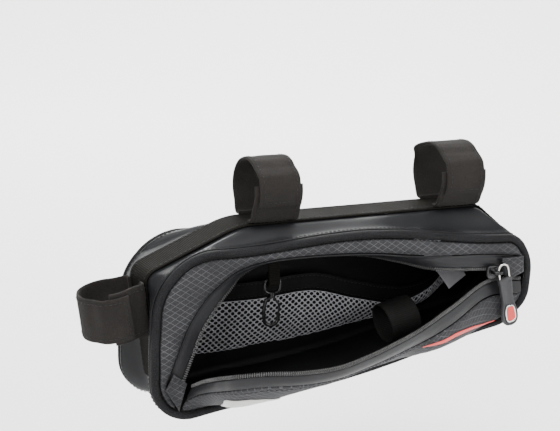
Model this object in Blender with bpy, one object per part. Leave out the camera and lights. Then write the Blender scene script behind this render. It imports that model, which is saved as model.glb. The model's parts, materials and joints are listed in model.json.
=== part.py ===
"""Frame bag that hangs by two loops along its spine and a third at its rear, with its zip open.

Metres, +Z up. The origin is on the axis that both upper loops close round, midway between them. +X
runs along that axis to the bag's front end, and -Y faces the zip. The zip's lower lip is folded out.
"""

import math

import bmesh
import bpy
import numpy as np

# Driving sizes of the bag.
BAG_LENGTH = 0.2715
BAG_HEIGHT = 0.1200
BAG_DEPTH = 0.0595
REAR_REACH = 0.1524
CLOTH = 0.0016
LINING_CLOTH = 0.0010
WELT_DIAMETER = 0.0054
GAP = 0.0003

# The round bars that the three loops are closed round. The third bar leans by REAR_BAR_ANGLE.
FRONT_LOOP_BAR = 0.038
MIDDLE_LOOP_BAR = 0.035
REAR_LOOP_BAR = 0.033
REAR_BAR_ANGLE = math.radians(80.4)
REAR_BAR_CLEARANCE = 0.0035
BAR_CLEARANCE = 0.0005

# Straps and webbing.
STRAP_SPACING = 0.1331
STRAP_WIDTH = 0.028
STRAP_THICKNESS = 0.0020
STRAP_CORNER_FLARE = 0.0045
TAB_WIDTH = 0.033
REAR_LOOP_DROP = 0.0665
WEBBING_WIDTH = 0.025
WEBBING_THICKNESS = 0.0015
LOOP_SLACK = 0.0004
SEWN_DIP = 0.00012

# The zip and its pull.
TAPE_WIDTH = 0.0085
TAPE_THICKNESS = 0.0012
TEETH_WIDTH = 0.0018
TEETH_THICKNESS = 0.0014
PANEL_TIP = 0.0016
FLAP_REACH = 0.060
SLIDER_LENGTH = 0.0110
SLIDER_HEIGHT = 0.0090
SLIDER_PLATE = 0.0022
BRIDGE_RISE = 0.0038
BRIDGE_BAR = 0.0012
BAIL_WIDTH = 0.0074
BAIL_LENGTH = 0.0125
BAIL_RISE = 0.0045
BAIL_SINK = 0.0030
BAIL_WIRE = 0.0013
TAB_LENGTH = 0.0340
TAB_THICKNESS = 0.0032
TAB_TOP_WIDTH = 0.0098
TAB_END_WIDTH = 0.0122
PULL_LEAN = math.radians(13)
BADGE_HEIGHT = 0.0125
BADGE_WIDTH = 0.0080
BADGE_THICKNESS = 0.0008
INLAY_THICKNESS = 0.0006
TRIM_THICKNESS = 0.0006
PRINT_LIFT = 0.00045

# Pieces inside the bag.
POCKET_REACH = 0.0075
HEM_HEIGHT = 0.0115
NET_STRAND = 0.0012
NET_COLUMNS = 16
NET_ROWS = 3
ELASTIC_BORE = 0.0244
ELASTIC_WIDTH = 0.0220
ELASTIC_THICKNESS = 0.0014
HOOK_STRAP_WIDTH = 0.0080
HOOK_STRAP_LENGTH = 0.0370
HOOK_STRAP_THICKNESS = 0.0010
HOOK_LENGTH = 0.0340
HOOK_WIDTH = 0.0130
HOOK_THICKNESS = 0.0026
LABEL_WIDTH = 0.0155
LABEL_LENGTH = 0.0400
LABEL_CURL = 0.0130

ARC_POINTS = 4
ZIP_POINTS = 36
LIP_POINTS = 28
STRAP_POINTS = 28
HEM_POINTS = 20
HALF_DEPTH = BAG_DEPTH / 2
WELT_RADIUS = WELT_DIAMETER / 2
WELT_Y = HALF_DEPTH - WELT_RADIUS
GUSSET_Y = WELT_Y - WELT_RADIUS - GAP
PANEL_INSET = WELT_DIAMETER + GAP
PANEL_Y = WELT_Y + CLOTH / 2
WEBBING_LIFT = GAP + WEBBING_THICKNESS
SPINE_TOP = -(max(FRONT_LOOP_BAR, MIDDLE_LOOP_BAR) / 2 + BAR_CLEARANCE)
CROWN = SPINE_TOP - WEBBING_LIFT

# Corners of the bag's side outline, once at its middle, under the webbing, and once at its two faces.
# "along" is a share of the length from the rear, "below" a share of the height under the crown and
# "round" the corner's radius as a share of the height. "bow" swells the side that follows, as a
# share of the height, and "points" is how many points that side gets.
OUTLINE_COLUMNS = ("mid_along", "mid_below", "mid_round", "mid_bow",
                   "face_along", "face_below", "face_round", "face_bow", "points")
OUTLINE = {
    "rear_bottom": (0.061, 0.981, 0.183, 0.000, -0.002, 0.998, 0.217, 0.004, 3),
    "rear_upper": (0.006, 0.214, 0.067, 0.000, 0.000, 0.272, 0.317, 0.000, 1),
    "rear_shoulder": (0.234, 0.000, 0.417, 0.000, 0.090, 0.068, 0.317, 0.062, 7),
    "front_shoulder": (0.867, 0.000, 0.100, 0.000, 0.959, 0.138, 0.150, 0.000, 1),
    "front_upper": (0.982, 0.214, 0.117, 0.000, 1.002, 0.289, 0.250, 0.000, 2),
    "front_lower": (0.991, 0.523, 0.150, 0.000, 0.998, 0.523, 0.167, 0.000, 1),
    "front_bottom": (0.934, 0.648, 0.183, 0.033, 0.934, 0.652, 0.200, 0.042, 6),
}

# The seam between the front panel and the upper tape, from the zip's lower start to its front end.
# "roll" is how far the tape turns inwards there, as a share of a quarter turn.
SEAM_COLUMNS = ("along", "below", "roll")
SEAM = (
    (0.037, 0.765, 0.00),
    (0.064, 0.601, 0.00),
    (0.089, 0.458, 0.00),
    (0.123, 0.343, 0.05),
    (0.168, 0.248, 0.25),
    (0.240, 0.172, 0.65),
    (0.310, 0.152, 0.85),
    (0.404, 0.152, 0.85),
    (0.547, 0.170, 0.80),
    (0.643, 0.200, 0.60),
    (0.760, 0.228, 0.15),
    (0.878, 0.245, 0.00),
    (0.968, 0.272, 0.00),
)

# Sections of the folded-out lip, from the zip's start to its front end. "seam" is the place along
# the bottom seam, from 0 to 1. "along", "below" and "reach" place the free edge, the last as a share
# of the lip's reach in front of the face. "lift" is the angle, in degrees, at which the cloth leaves
# the seam and "swell" how far it runs that way, as a share of the section's straight length.
LIP_COLUMNS = ("seam", "along", "below", "reach", "lift", "swell")
LIP = (
    (0.000, 0.092, 0.765, 0.040, 84, 0.30),
    (0.035, 0.099, 0.690, 0.330, 45, 0.33),
    (0.080, 0.110, 0.630, 0.620, 15, 0.38),
    (0.125, 0.138, 0.594, 0.820, 0, 0.44),
    (0.165, 0.175, 0.578, 0.920, 4, 0.46),
    (0.240, 0.265, 0.583, 1.000, 12, 0.48),
    (0.330, 0.362, 0.592, 0.940, 19, 0.48),
    (0.430, 0.461, 0.579, 0.790, 25, 0.48),
    (0.530, 0.553, 0.552, 0.640, 15, 0.45),
    (0.720, 0.725, 0.467, 0.330, -9, 0.92),
    (0.880, 0.871, 0.385, 0.030, -24, 0.35),
    (1.000, 0.972, 0.390, 0.000, 30, 0.18),
)
LIP_EDGE_DROP = 0.0160

# The prints on the lip. "section" counts the lip's sections, and "low" and "high" are the print's edges
# there, as shares of the cloth from the seam to the tape.
PRINT_COLUMNS = ("section", "low", "high")
PRINTS = {
    "flap_trim_line": ((14.5, 0.86, 0.94), (17.5, 0.72, 0.82), (20.0, 0.45, 0.54), (22.5, 0.12, 0.20)),
    "reflective_patch": ((6.0, 0.30, 0.80), (7.5, 0.26, 0.78), (8.5, 0.22, 0.64)),
}

# Sections of the net pocket along the rear wall. "top" and "foot" are the net's upper and lower edges
# below the crown, as shares of the height, and "out" is how far its top stands off the wall, as a
# share of its reach.
POCKET_COLUMNS = ("along", "top", "foot", "out")
POCKET = (
    (0.150, 0.480, 0.760, 0.05),
    (0.215, 0.480, 0.775, 0.60),
    (0.330, 0.480, 0.760, 0.95),
    (0.490, 0.466, 0.735, 1.00),
    (0.600, 0.536, 0.700, 0.95),
    (0.735, 0.592, 0.660, 0.70),
    (0.820, 0.540, 0.610, 0.40),
    (0.870, 0.450, 0.520, 0.05),
)

# Corners of the folded tabs at the zip's ends, as shares along the bag and below its crown.
PATCHES = {
    "zip_start_patch": ((0.048, 0.695), (0.082, 0.752), (0.064, 0.897), (0.029, 0.776)),
    "zip_end_patch": ((0.905, 0.262), (0.968, 0.262), (0.972, 0.350), (0.918, 0.400)),
}

for old in list(bpy.data.objects):
    bpy.data.objects.remove(old, do_unlink=True)


def along(share):
    """The X of a share of the bag's length, from its rear."""
    return share * BAG_LENGTH - REAR_REACH


def below(share):
    """The Z of a share of the bag's height, under its crown."""
    return CROWN - share * BAG_HEIGHT


def material(name, colour, roughness, metallic=0.0):
    """A plain finish with this colour."""
    made = bpy.data.materials.new(name)
    made.use_nodes = True
    shader = made.node_tree.nodes["Principled BSDF"]
    shader.inputs["Base Color"].default_value = (*colour, 1.0)
    shader.inputs["Roughness"].default_value = roughness
    shader.inputs["Metallic"].default_value = metallic
    return made


COATED = material("coated_cloth", (0.045, 0.047, 0.050), 0.45)
RIPSTOP = material("ripstop", (0.040, 0.040, 0.043), 0.70)
WEBBING = material("webbing", (0.022, 0.021, 0.020), 0.85)
LOOP_CLOTH = material("loop_cloth", (0.020, 0.018, 0.017), 0.95)
TAPE = material("zip_tape", (0.050, 0.050, 0.053), 0.50)
TEETH = material("zip_teeth", (0.060, 0.060, 0.060), 0.40)
LINING = material("lining", (0.008, 0.008, 0.008), 0.80)
NET = material("net", (0.560, 0.560, 0.590), 0.70)
BLACK_METAL = material("black_metal", (0.020, 0.020, 0.020), 0.35, 1.0)
NICKEL = material("nickel", (0.620, 0.600, 0.560), 0.25, 1.0)
RUBBER = material("rubber", (0.075, 0.075, 0.078), 0.60)
BLACK_PLASTIC = material("black_plastic", (0.012, 0.012, 0.012), 0.30)
RED_PRINT = material("red_print", (0.750, 0.060, 0.050), 0.45)
REFLECTIVE = material("reflective_film", (0.500, 0.490, 0.480), 0.35)
LABEL = material("label_cloth", (0.580, 0.570, 0.610), 0.60)


def unit(vectors):
    """Each vector at length 1."""
    return vectors / np.maximum(np.linalg.norm(vectors, axis=-1, keepdims=True), 1e-12)


def smooth_path(rows, count):
    """Evenly spaced points on a smooth curve through the rows, whose columns may be more than places."""
    rows = np.asarray(rows, float)
    steps = np.linalg.norm(np.diff(rows, axis=0), axis=1)
    knots = np.concatenate([[0.0], np.cumsum(steps)])
    slopes = np.gradient(rows, knots, axis=0)
    dense = np.linspace(0, knots[-1], 40 * len(rows))
    span = np.clip(np.searchsorted(knots, dense, side="right") - 1, 0, len(rows) - 2)
    width = (knots[span + 1] - knots[span])[:, None]
    s = ((dense - knots[span]) / width[:, 0])[:, None]
    curve = ((2 * s**3 - 3 * s**2 + 1) * rows[span] + (s**3 - 2 * s**2 + s) * width * slopes[span]
             + (3 * s**2 - 2 * s**3) * rows[span + 1] + (s**3 - s**2) * width * slopes[span + 1])
    return resample(curve, count)


def resample(points, count, start=0.0, end=1.0):
    """Points evenly spaced along the stretch of an open line from one share of its length to another."""
    points = np.asarray(points, float)
    lengths = np.concatenate([[0.0], np.cumsum(np.linalg.norm(np.diff(points, axis=0), axis=1))])
    wanted = np.linspace(start, end, count) * lengths[-1]
    return np.stack([np.interp(wanted, lengths, column) for column in points.T], axis=1)


def rounded_outline(kind):
    """The closed outline at the "mid" or the "face", clockwise seen from the zip side, as (x, z) rows."""
    rows = [dict(zip(OUTLINE_COLUMNS, row)) for row in OUTLINE.values()]
    corners = np.array([(along(row[f"{kind}_along"]), below(row[f"{kind}_below"])) for row in rows])
    ends = []
    for index, row in enumerate(rows):
        corner = corners[index]
        back = unit(corners[index - 1] - corner)
        ahead = unit(corners[(index + 1) % len(rows)] - corner)
        radius = row[f"{kind}_round"] * BAG_HEIGHT
        half = math.acos(float(back @ ahead)) / 2
        centre = corner + unit(back + ahead) * radius / math.sin(half)
        first = corner + back * radius / math.tan(half)
        last = corner + ahead * radius / math.tan(half)
        shares = np.linspace(0, 1, ARC_POINTS)[:, None]
        swing = math.pi - 2 * half
        arm_a, arm_b = first - centre, last - centre
        arc = (np.sin((1 - shares) * swing) * arm_a + np.sin(shares * swing) * arm_b) / math.sin(swing)
        ends.append(centre + arc)
    outline = []
    for index, row in enumerate(rows):
        outline.extend(ends[index])
        start, stop = ends[index][-1], ends[(index + 1) % len(rows)][0]
        shares = np.linspace(0, 1, round(row["points"]) + 2)[1:-1, None]
        side = stop - start
        outward = unit(np.array([-side[1], side[0]]))
        bow = row[f"{kind}_bow"] * BAG_HEIGHT * np.sin(math.pi * shares) ** 2
        outline.extend(start + shares * side + outward * bow)
    return np.array(outline)


def inset(outline, distance):
    """The closed outline moved inwards by this distance."""
    ahead = unit(np.roll(outline, -1, axis=0) - outline)
    tangent = unit(ahead + np.roll(ahead, 1, axis=0))
    inward = np.stack([tangent[:, 1], -tangent[:, 0]], axis=1)
    spread = np.sqrt((1 + np.sum(ahead * np.roll(ahead, 1, axis=0), axis=1)) / 2)
    return outline + inward * (distance / spread)[:, None]


def offset_line(line, distance):
    """An open line of (x, z) rows moved to the left of its direction by this distance."""
    tangent = unit(np.gradient(line, axis=0))
    return line + distance * np.stack([-tangent[:, 1], tangent[:, 0]], axis=1)


MID = rounded_outline("mid")
FACE = rounded_outline("face")


def body_outline(y, depth):
    """The bag's outline in the plane at y, inset by this depth."""
    share = (abs(y) - WEBBING_WIDTH / 2) / (GUSSET_Y - WEBBING_WIDTH / 2)
    share = min(max(share, 0.0), 1.0)
    weight = share * share * (3 - 2 * share)
    return inset(MID * (1 - weight) + FACE * weight, depth)


def in_plane(line, y):
    """(x, z) rows as (x, y, z) rows at this y, which may be one number or one for each row."""
    line = np.asarray(line)
    return np.stack([line[:, 0], np.broadcast_to(y, len(line)), line[:, 1]], axis=1)


def add_object(name, points, faces, finish):
    """One named object from points and faces, with its normals facing out."""
    mesh = bpy.data.meshes.new(name)
    mesh.from_pydata([tuple(map(float, point)) for point in points], [], faces)
    shape = bmesh.new()
    shape.from_mesh(mesh)
    bmesh.ops.recalc_face_normals(shape, faces=shape.faces)
    shape.to_mesh(mesh)
    shape.free()
    mesh.materials.append(finish)
    mesh.shade_smooth()
    mesh.set_sharp_from_angle(angle=math.radians(40))
    made = bpy.data.objects.new(name, mesh)
    bpy.context.collection.objects.link(made)
    return made


def normals_of(grid, wrap):
    """The unit normal at each point of a grid, which may close on itself along its first axis."""
    if wrap:
        first = np.roll(grid, -1, axis=0) - np.roll(grid, 1, axis=0)
    else:
        first = np.gradient(grid, axis=0)
    return unit(np.cross(first, np.gradient(grid, axis=1)))


def shell(name, outer, inner, finish, wrap=False):
    """The solid between two grids of points. wrap closes it along the grids' first axis."""
    rows, columns = outer.shape[:2]
    points = np.concatenate([outer.reshape(-1, 3), inner.reshape(-1, 3)])
    half = rows * columns

    def at(row, column, side):
        return side * half + (row % rows) * columns + column

    faces = []
    last = rows if wrap else rows - 1
    for row in range(last):
        for column in range(columns - 1):
            for side in (0, 1):
                faces.append((at(row, column, side), at(row + 1, column, side),
                              at(row + 1, column + 1, side), at(row, column + 1, side)))
        for column in (0, columns - 1):
            faces.append((at(row, column, 0), at(row + 1, column, 0),
                          at(row + 1, column, 1), at(row, column, 1)))
    if not wrap:
        for row in (0, rows - 1):
            for column in range(columns - 1):
                faces.append((at(row, column, 0), at(row, column + 1, 0),
                              at(row, column + 1, 1), at(row, column, 1)))
    return add_object(name, points, faces, finish)


def sheet(name, grid, thickness, finish, wrap=False, lift=0.0):
    """A cloth of this thickness. Its lower side lies at this height over the grid."""
    normal = normals_of(grid, wrap)
    return shell(name, grid + normal * (lift + thickness), grid + normal * lift, finish, wrap)


def capped(name, outer_rings, inner_rings, finish):
    """A tray: rings of points that close on a flat cap, once outside and once inside."""
    rings = [*outer_rings, *inner_rings]
    size = len(rings[0])
    points = np.concatenate(rings)
    faces = []
    joined = [(i, i + 1) for i in range(len(rings) - 1) if i != len(outer_rings) - 1]
    for a, b in [*joined, (0, len(outer_rings))]:
        for k in range(size):
            n = (k + 1) % size
            faces.append((a * size + k, a * size + n, b * size + n, b * size + k))
    for ring in (len(outer_rings) - 1, len(rings) - 1):
        faces.append(tuple(range(ring * size, ring * size + size)))
    return add_object(name, points, faces, finish)


def tube(name, path, radius, sides, finish, closed):
    """A round bar along a path."""
    curve = bpy.data.curves.new(name, "CURVE")
    curve.dimensions = "3D"
    curve.bevel_depth = radius
    curve.bevel_resolution = sides // 2 - 2
    curve.use_fill_caps = True
    spline = curve.splines.new("POLY")
    spline.points.add(len(path) - 1)
    for point, place in zip(spline.points, path):
        point.co = (*map(float, place), 1.0)
    spline.use_cyclic_u = closed
    spline.use_smooth = True
    curve.materials.append(finish)
    made = bpy.data.objects.new(name, curve)
    bpy.context.collection.objects.link(made)
    return made


def plate(name, loops, thickness, finish):
    """A flat plate in its own XY plane, from a rim and any holes, extruded both ways along its Z."""
    curve = bpy.data.curves.new(name, "CURVE")
    curve.dimensions = "2D"
    curve.fill_mode = "BOTH"
    curve.extrude = thickness / 2
    for loop in loops:
        spline = curve.splines.new("POLY")
        spline.points.add(len(loop) - 1)
        for point, (x, y) in zip(spline.points, loop):
            point.co = (float(x), float(y), 0.0, 1.0)
        spline.use_cyclic_u = True
    curve.materials.append(finish)
    made = bpy.data.objects.new(name, curve)
    bpy.context.collection.objects.link(made)
    return made


def ellipse(width, height, count, centre=(0.0, 0.0), power=1.0):
    """A closed ring of points. A power under 1 squares the ellipse off."""
    turns = np.linspace(0, 2 * math.pi, count, endpoint=False)
    c, s = np.cos(turns), np.sin(turns)
    x = centre[0] + width / 2 * np.sign(c) * np.abs(c) ** power
    y = centre[1] + height / 2 * np.sign(s) * np.abs(s) ** power
    return np.stack([x, y], axis=1)


def seam_line(count):
    """The upper tape's seam as (x, z) rows, and the tape's roll there in radians."""
    rows = [dict(zip(SEAM_COLUMNS, row)) for row in SEAM]
    line = smooth_path([(along(row["along"]), below(row["below"]), row["roll"] * BAG_HEIGHT)
                        for row in rows], count)
    return line[:, :2], np.clip(line[:, 2] / BAG_HEIGHT, 0.0, 1.0) * math.pi / 2


def upper_tape(count, start, end):
    """Grid of the upper tape's face between two distances from its seam, turned in by its roll."""
    line, roll = seam_line(count)
    grid = []
    for distance in np.linspace(start, end, 3):
        reach = distance * np.cos(roll) + TAPE_THICKNESS * np.sin(roll)
        flat = line + (offset_line(line, -1.0) - line) * reach[:, None]
        grid.append(in_plane(flat, -PANEL_Y + distance * np.sin(roll)))
    return np.stack(grid, axis=1)


def nearest_share(line, place):
    """How far along an open line, as a share of its length, it comes nearest to a place."""
    fine = resample(line, 400)
    return float(np.argmin(np.linalg.norm(fine - np.asarray(place), axis=1))) / 399


def rim_stretch(depth, first, last, count, upper):
    """The inset face outline from one place to another, over the top or along the bottom."""
    ring = inset(FACE, depth)
    ring = np.roll(ring, -int(np.argmin(ring[:, 1])), axis=0)
    loop = np.vstack([ring, ring[:1]])
    a, b = nearest_share(loop, first), nearest_share(loop, last)
    twice = np.vstack([loop, loop[1:]])
    if upper:
        return resample(twice, count, a / 2, (b if b > a else b + 1) / 2)
    return resample(twice, count, (a if a > b else a + 1) / 2, b / 2)


# Where the panel starts on the face's rim, and where the lip starts and ends there.
PANEL_START = (along(0.046), below(0.910))
LIP_START = (along(0.075), below(0.925))
LIP_END = (along(0.988), below(0.500))


def front_panel():
    """The ripstop round the opening, from the zip's start over the top to its front end."""
    seam, _ = seam_line(ZIP_POINTS)
    seam = offset_line(seam, 2 * GAP)
    rim = rim_stretch(PANEL_INSET, PANEL_START, seam[-1], ZIP_POINTS + 2, upper=True)
    corner = offset_line(rim, -PANEL_TIP)[0]
    seam = np.vstack([corner, (corner + seam[0]) / 2, seam])
    grid = []
    for share, swell in ((0.0, 0.0), (0.35, 0.7), (0.75, 0.8), (1.0, 0.0)):
        line = rim * (1 - share) + seam * share
        grid.append(in_plane(line, -PANEL_Y - swell * CLOTH))
    grid = np.stack(grid, axis=1)
    shell("front_panel", grid, grid + np.array([0.0, CLOTH, 0.0]), RIPSTOP)


def lip_surface(count, steps):
    """Grid of the lip's outer face: sections from the bottom seam to the free edge."""
    rows = [dict(zip(LIP_COLUMNS, row)) for row in LIP]
    edges = []
    for row in rows:
        reach = row["reach"] * FLAP_REACH
        edges.append((along(row["along"]), -PANEL_Y - reach, below(row["below"])))
    shape = [(row["seam"], row["lift"] / 90, row["swell"]) for row in rows]
    table = smooth_path(np.hstack([np.array(edges), np.array(shape) * BAG_LENGTH]), count)
    seam = rim_stretch(PANEL_INSET, LIP_START, LIP_END, 400, upper=False)
    places = np.clip(table[:, 3] / BAG_LENGTH, 0, 1) * 399
    grid = []
    for index in range(count):
        start = seam[int(round(places[index]))]
        start = np.array([start[0], -PANEL_Y, start[1]])
        edge = table[index, :3]
        chord = np.linalg.norm(edge - start)
        lift = table[index, 4] / BAG_LENGTH * math.pi / 2
        away = np.array([0.0, -math.cos(lift), math.sin(lift)])
        handle_a = start + away * chord * table[index, 5] / BAG_LENGTH
        drop = min(LIP_EDGE_DROP, chord / 3)
        handle_b = edge - np.array([0.0, 0.0, drop])
        s = np.linspace(0, 1, 60)[:, None]
        curve = ((1 - s) ** 3 * start + 3 * (1 - s) ** 2 * s * handle_a
                 + 3 * (1 - s) * s**2 * handle_b + s**3 * edge)
        grid.append(steps(curve))
    return np.stack(grid)


def from_edge(near, far, count):
    """A rule that keeps the stretch of a section between two distances from its free edge."""
    def rule(curve):
        length = np.linalg.norm(np.diff(curve, axis=0), axis=1).sum()
        return resample(curve, count, 1 - far / length, 1 - near / length)
    return rule


def from_seam(near, count):
    """A rule that keeps the stretch of a section from its seam to a distance from its free edge."""
    def rule(curve):
        length = np.linalg.norm(np.diff(curve, axis=0), axis=1).sum()
        return resample(curve, count, 0.0, 1 - near / length)
    return rule


def faced_out(grid):
    """The grid with its normals turned to the zip side and down."""
    normal = normals_of(grid, False)
    return grid if normal[:, :, 1].mean() + normal[:, :, 2].mean() < 0 else grid[:, ::-1]


def flap_and_lower_tape():
    """The folded-out lip, the tape along its free edge and the tape's teeth."""
    count = LIP_POINTS
    tape_end = TEETH_WIDTH + 2 * GAP + TAPE_WIDTH
    cloth = faced_out(lip_surface(count, from_seam(tape_end + 3 * GAP, 6)))
    sheet("flap", cloth, CLOTH, RIPSTOP, lift=-CLOTH)
    tape = faced_out(lip_surface(count, from_edge(TEETH_WIDTH + 2 * GAP, tape_end, 3)))
    sheet("zip_tape_lower", tape, TAPE_THICKNESS, TAPE, lift=-TAPE_THICKNESS)
    teeth = faced_out(lip_surface(count, from_edge(0.0, TEETH_WIDTH, 2)))
    sheet("zip_teeth_lower", teeth, TEETH_THICKNESS, TEETH, lift=-TEETH_THICKNESS)


def upper_zip():
    """The upper tape and its teeth."""
    count = ZIP_POINTS
    tape = upper_tape(count, 0.0, TAPE_WIDTH)
    inward = np.array([0.0, TAPE_THICKNESS, 0.0])
    _, roll = seam_line(count)
    line = seam_line(count)[0]
    across = unit(offset_line(line, 1.0) - line)
    turn = np.stack([across[:, 0] * np.sin(roll), np.cos(roll), across[:, 1] * np.sin(roll)], axis=1)
    shell("zip_tape_upper", tape, tape + turn[:, None, :] * inward[1], TAPE)
    teeth = upper_tape(count, TAPE_WIDTH + GAP, TAPE_WIDTH + GAP + TEETH_WIDTH)[:, (0, 2)]
    shell("zip_teeth_upper", teeth, teeth + turn[:, None, :] * TEETH_THICKNESS, TEETH)


def body():
    """The gusset, the welts, the rear panel, the lining and the webbing down the spine."""
    corner_y = GUSSET_Y - 0.27 * WELT_DIAMETER
    shoulder_y = (WEBBING_WIDTH / 2 + corner_y) / 2
    across = (-GUSSET_Y, -shoulder_y, -WEBBING_WIDTH / 2, WEBBING_WIDTH / 2, shoulder_y, corner_y)
    stations = (*across, GUSSET_Y)
    outer = np.stack([in_plane(body_outline(y, 0.0), y) for y in stations], axis=1)
    inner = np.stack([in_plane(body_outline(y, CLOTH), y) for y in stations], axis=1)
    shell("gusset", outer, inner, COATED, wrap=True)

    for name, side in (("front_welt", -1), ("rear_welt", 1)):
        path = in_plane(inset(FACE, WELT_RADIUS), side * WELT_Y)
        tube(name, path, WELT_RADIUS, 6, RIPSTOP, closed=True)

    rim = inset(FACE, PANEL_INSET)
    middle = rim.mean(axis=0)

    def ring(share, y):
        return in_plane(middle + (rim - middle) * share, y)

    capped("back_panel",
           [ring(1.0, PANEL_Y), ring(0.85, PANEL_Y + CLOTH), ring(0.5, PANEL_Y + 1.3 * CLOTH)],
           [ring(1.0, PANEL_Y - CLOTH), ring(0.85, PANEL_Y), ring(0.5, PANEL_Y + 0.3 * CLOTH)],
           COATED)

    skin = CLOTH + GAP
    turn_in = 0.83 * WELT_DIAMETER
    outside = [in_plane(body_outline(y, skin), y) for y in across]
    outside.append(in_plane(inset(FACE, skin + turn_in), BACK_LINING_Y))
    inside = [in_plane(body_outline(y, skin + LINING_CLOTH), y) for y in across[:-1]]
    inside.append(in_plane(body_outline(corner_y, skin + LINING_CLOTH), corner_y - 0.5 * LINING_CLOTH))
    inside.append(in_plane(inset(FACE, skin + turn_in + LINING_CLOTH), BACK_LINING_Y - LINING_CLOTH))
    capped("lining", outside, inside, LINING)

    rear_foot, front_foot = (along(0.050), below(0.80)), (along(1.0), below(0.34))
    first, last = (int(np.argmin(np.linalg.norm(MID - np.array(foot), axis=1)))
                   for foot in (rear_foot, front_foot))
    kept = range(first, last + 1 if last > first else last + 1 + len(MID))
    under = inset(MID, -GAP).take(kept, axis=0, mode="wrap")
    sewn = np.abs(np.abs(MID[:, 0]) - STRAP_SPACING / 2) < STRAP_WIDTH / 2
    over = inset(MID, SEWN_DIP * sewn - WEBBING_LIFT).take(kept, axis=0, mode="wrap")
    sides = (-WEBBING_WIDTH / 2, WEBBING_WIDTH / 2)
    shell("spine_webbing", np.stack([in_plane(over, y) for y in sides], axis=1),
          np.stack([in_plane(under, y) for y in sides], axis=1), WEBBING)


BACK_LINING_Y = PANEL_Y - CLOTH - GAP
WALL_Y = BACK_LINING_Y - LINING_CLOTH - GAP


def band(name, centre, bagward, bar_axis, path, width, thickness, finish, flare=0.0):
    """A flat strap whose middle line is given as (near, bagward) places round a bar's axis."""
    centre, bagward, bar_axis = (np.asarray(v, float) for v in (centre, bagward, bar_axis))
    near = np.array([0.0, -1.0, 0.0])
    line = centre + path[:, :1] * near + path[:, 1:] * bagward
    tangent = unit(np.gradient(line, axis=0))
    normal = unit(np.cross(tangent, bar_axis))
    outer, inner = [], []
    shares = np.linspace(0, 1, len(line))
    for side in (-1, 1):
        extra = flare * np.exp(-(((shares - 0.42) / 0.07) ** 2)) * (side < 0)
        edge = line + side * bar_axis * (width / 2 + extra)[:, None]
        outer.append(edge + normal * thickness / 2)
        inner.append(edge - normal * thickness / 2)
    return shell(name, np.stack(outer, axis=1), np.stack(inner, axis=1), finish)


def strap(name, centre, bagward, bar_axis, bar, seat, over_end, flare):
    """One loop: a short tab sewn to the spine's near edge and a strap from its far edge over the bar.

    seat is the distance from the bar's axis to the webbing, and over_end the angle, from the
    direction of the bag, at which the strap ends on the near side.
    """
    bend = bar / 2 + LOOP_SLACK + STRAP_THICKNESS / 2
    foot = seat - GAP - STRAP_THICKNESS / 2
    edge = WEBBING_WIDTH / 2

    def on_circle(degrees, extra=0.0):
        angle = math.radians(degrees)
        return (math.sin(angle) * (bend + extra), math.cos(angle) * (bend + extra))

    tab = [(0.76 * edge, foot), (1.0 * edge, foot)]
    tab += [on_circle(degrees) for degrees in (58, 70, 82, 94, 106)]
    tab = smooth_path(tab, 12)
    band(f"{name}_tab", centre, bagward, bar_axis, tab, np.full(12, TAB_WIDTH), STRAP_THICKNESS,
         LOOP_CLOTH)

    lift = STRAP_THICKNESS + GAP
    over = [(-0.76 * edge, foot), (-1.0 * edge, foot)]
    over += [on_circle(degrees) for degrees in range(-58, -221, -18)]
    over += [on_circle(-230, 0.45 * lift), on_circle(-240, lift)]
    over += [on_circle(degrees, lift) for degrees in np.linspace(-252, over_end - 360, 5)]
    over = smooth_path(over, STRAP_POINTS)
    band(f"{name}_over", centre, bagward, bar_axis, over, np.full(STRAP_POINTS, STRAP_WIDTH),
         STRAP_THICKNESS, LOOP_CLOTH, flare)


def straps():
    """The three loops: two along the spine's top, one down its rear."""
    down, forward = (0.0, 0.0, -1.0), (1.0, 0.0, 0.0)
    seat = -SPINE_TOP
    strap("strap_middle", (-STRAP_SPACING / 2, 0.0, 0.0), down, forward, MIDDLE_LOOP_BAR, seat, 70, 0.0)
    strap("strap_front", (STRAP_SPACING / 2, 0.0, 0.0), down, forward, FRONT_LOOP_BAR, seat, 67,
          STRAP_CORNER_FLARE)
    bar_axis = np.array([-math.cos(REAR_BAR_ANGLE), 0.0, math.sin(REAR_BAR_ANGLE)])
    bagward = np.array([bar_axis[2], 0.0, -bar_axis[0]])
    drops = REAR_LOOP_DROP + np.linspace(-0.5, 0.5, 9) * TAB_WIDTH
    run = (drops - REAR_LOOP_DROP) / math.tan(REAR_BAR_ANGLE)
    on_spine = np.min(np.interp(drops, *rear_edge()) - run)
    distance = REAR_LOOP_BAR / 2 + REAR_BAR_CLEARANCE
    surface = np.array([on_spine - WEBBING_LIFT / math.sin(REAR_BAR_ANGLE), 0.0, -REAR_LOOP_DROP])
    centre = surface - bagward * distance
    strap("strap_rear", centre, bagward, bar_axis, REAR_LOOP_BAR, distance, 72, 0.0)


def rear_edge():
    """Depths below the origin down the middle outline's rear side, and the X there."""
    rear = MID[(MID[:, 0] < along(0.2)) & (MID[:, 1] < below(0.15))]
    order = np.argsort(-rear[:, 1])
    return -rear[order, 1], rear[order, 0]


def zip_patches():
    """The folded tabs of ripstop over the zip's start and over its front end."""
    front = -PANEL_Y - 2 * CLOTH - GAP
    for name, shares in PATCHES.items():
        a, b, c, d = (np.array([along(x), front, below(z)]) for x, z in shares)
        rows = [[a * (1 - s) * (1 - t) + b * s * (1 - t) + c * s * t + d * (1 - s) * t
                 for s in (0.0, 0.5, 1.0)] for t in (0.0, 0.5, 1.0)]
        grid = np.array(rows)
        shell(name, grid, grid + np.array([0.0, CLOTH, 0.0]), RIPSTOP)


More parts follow.
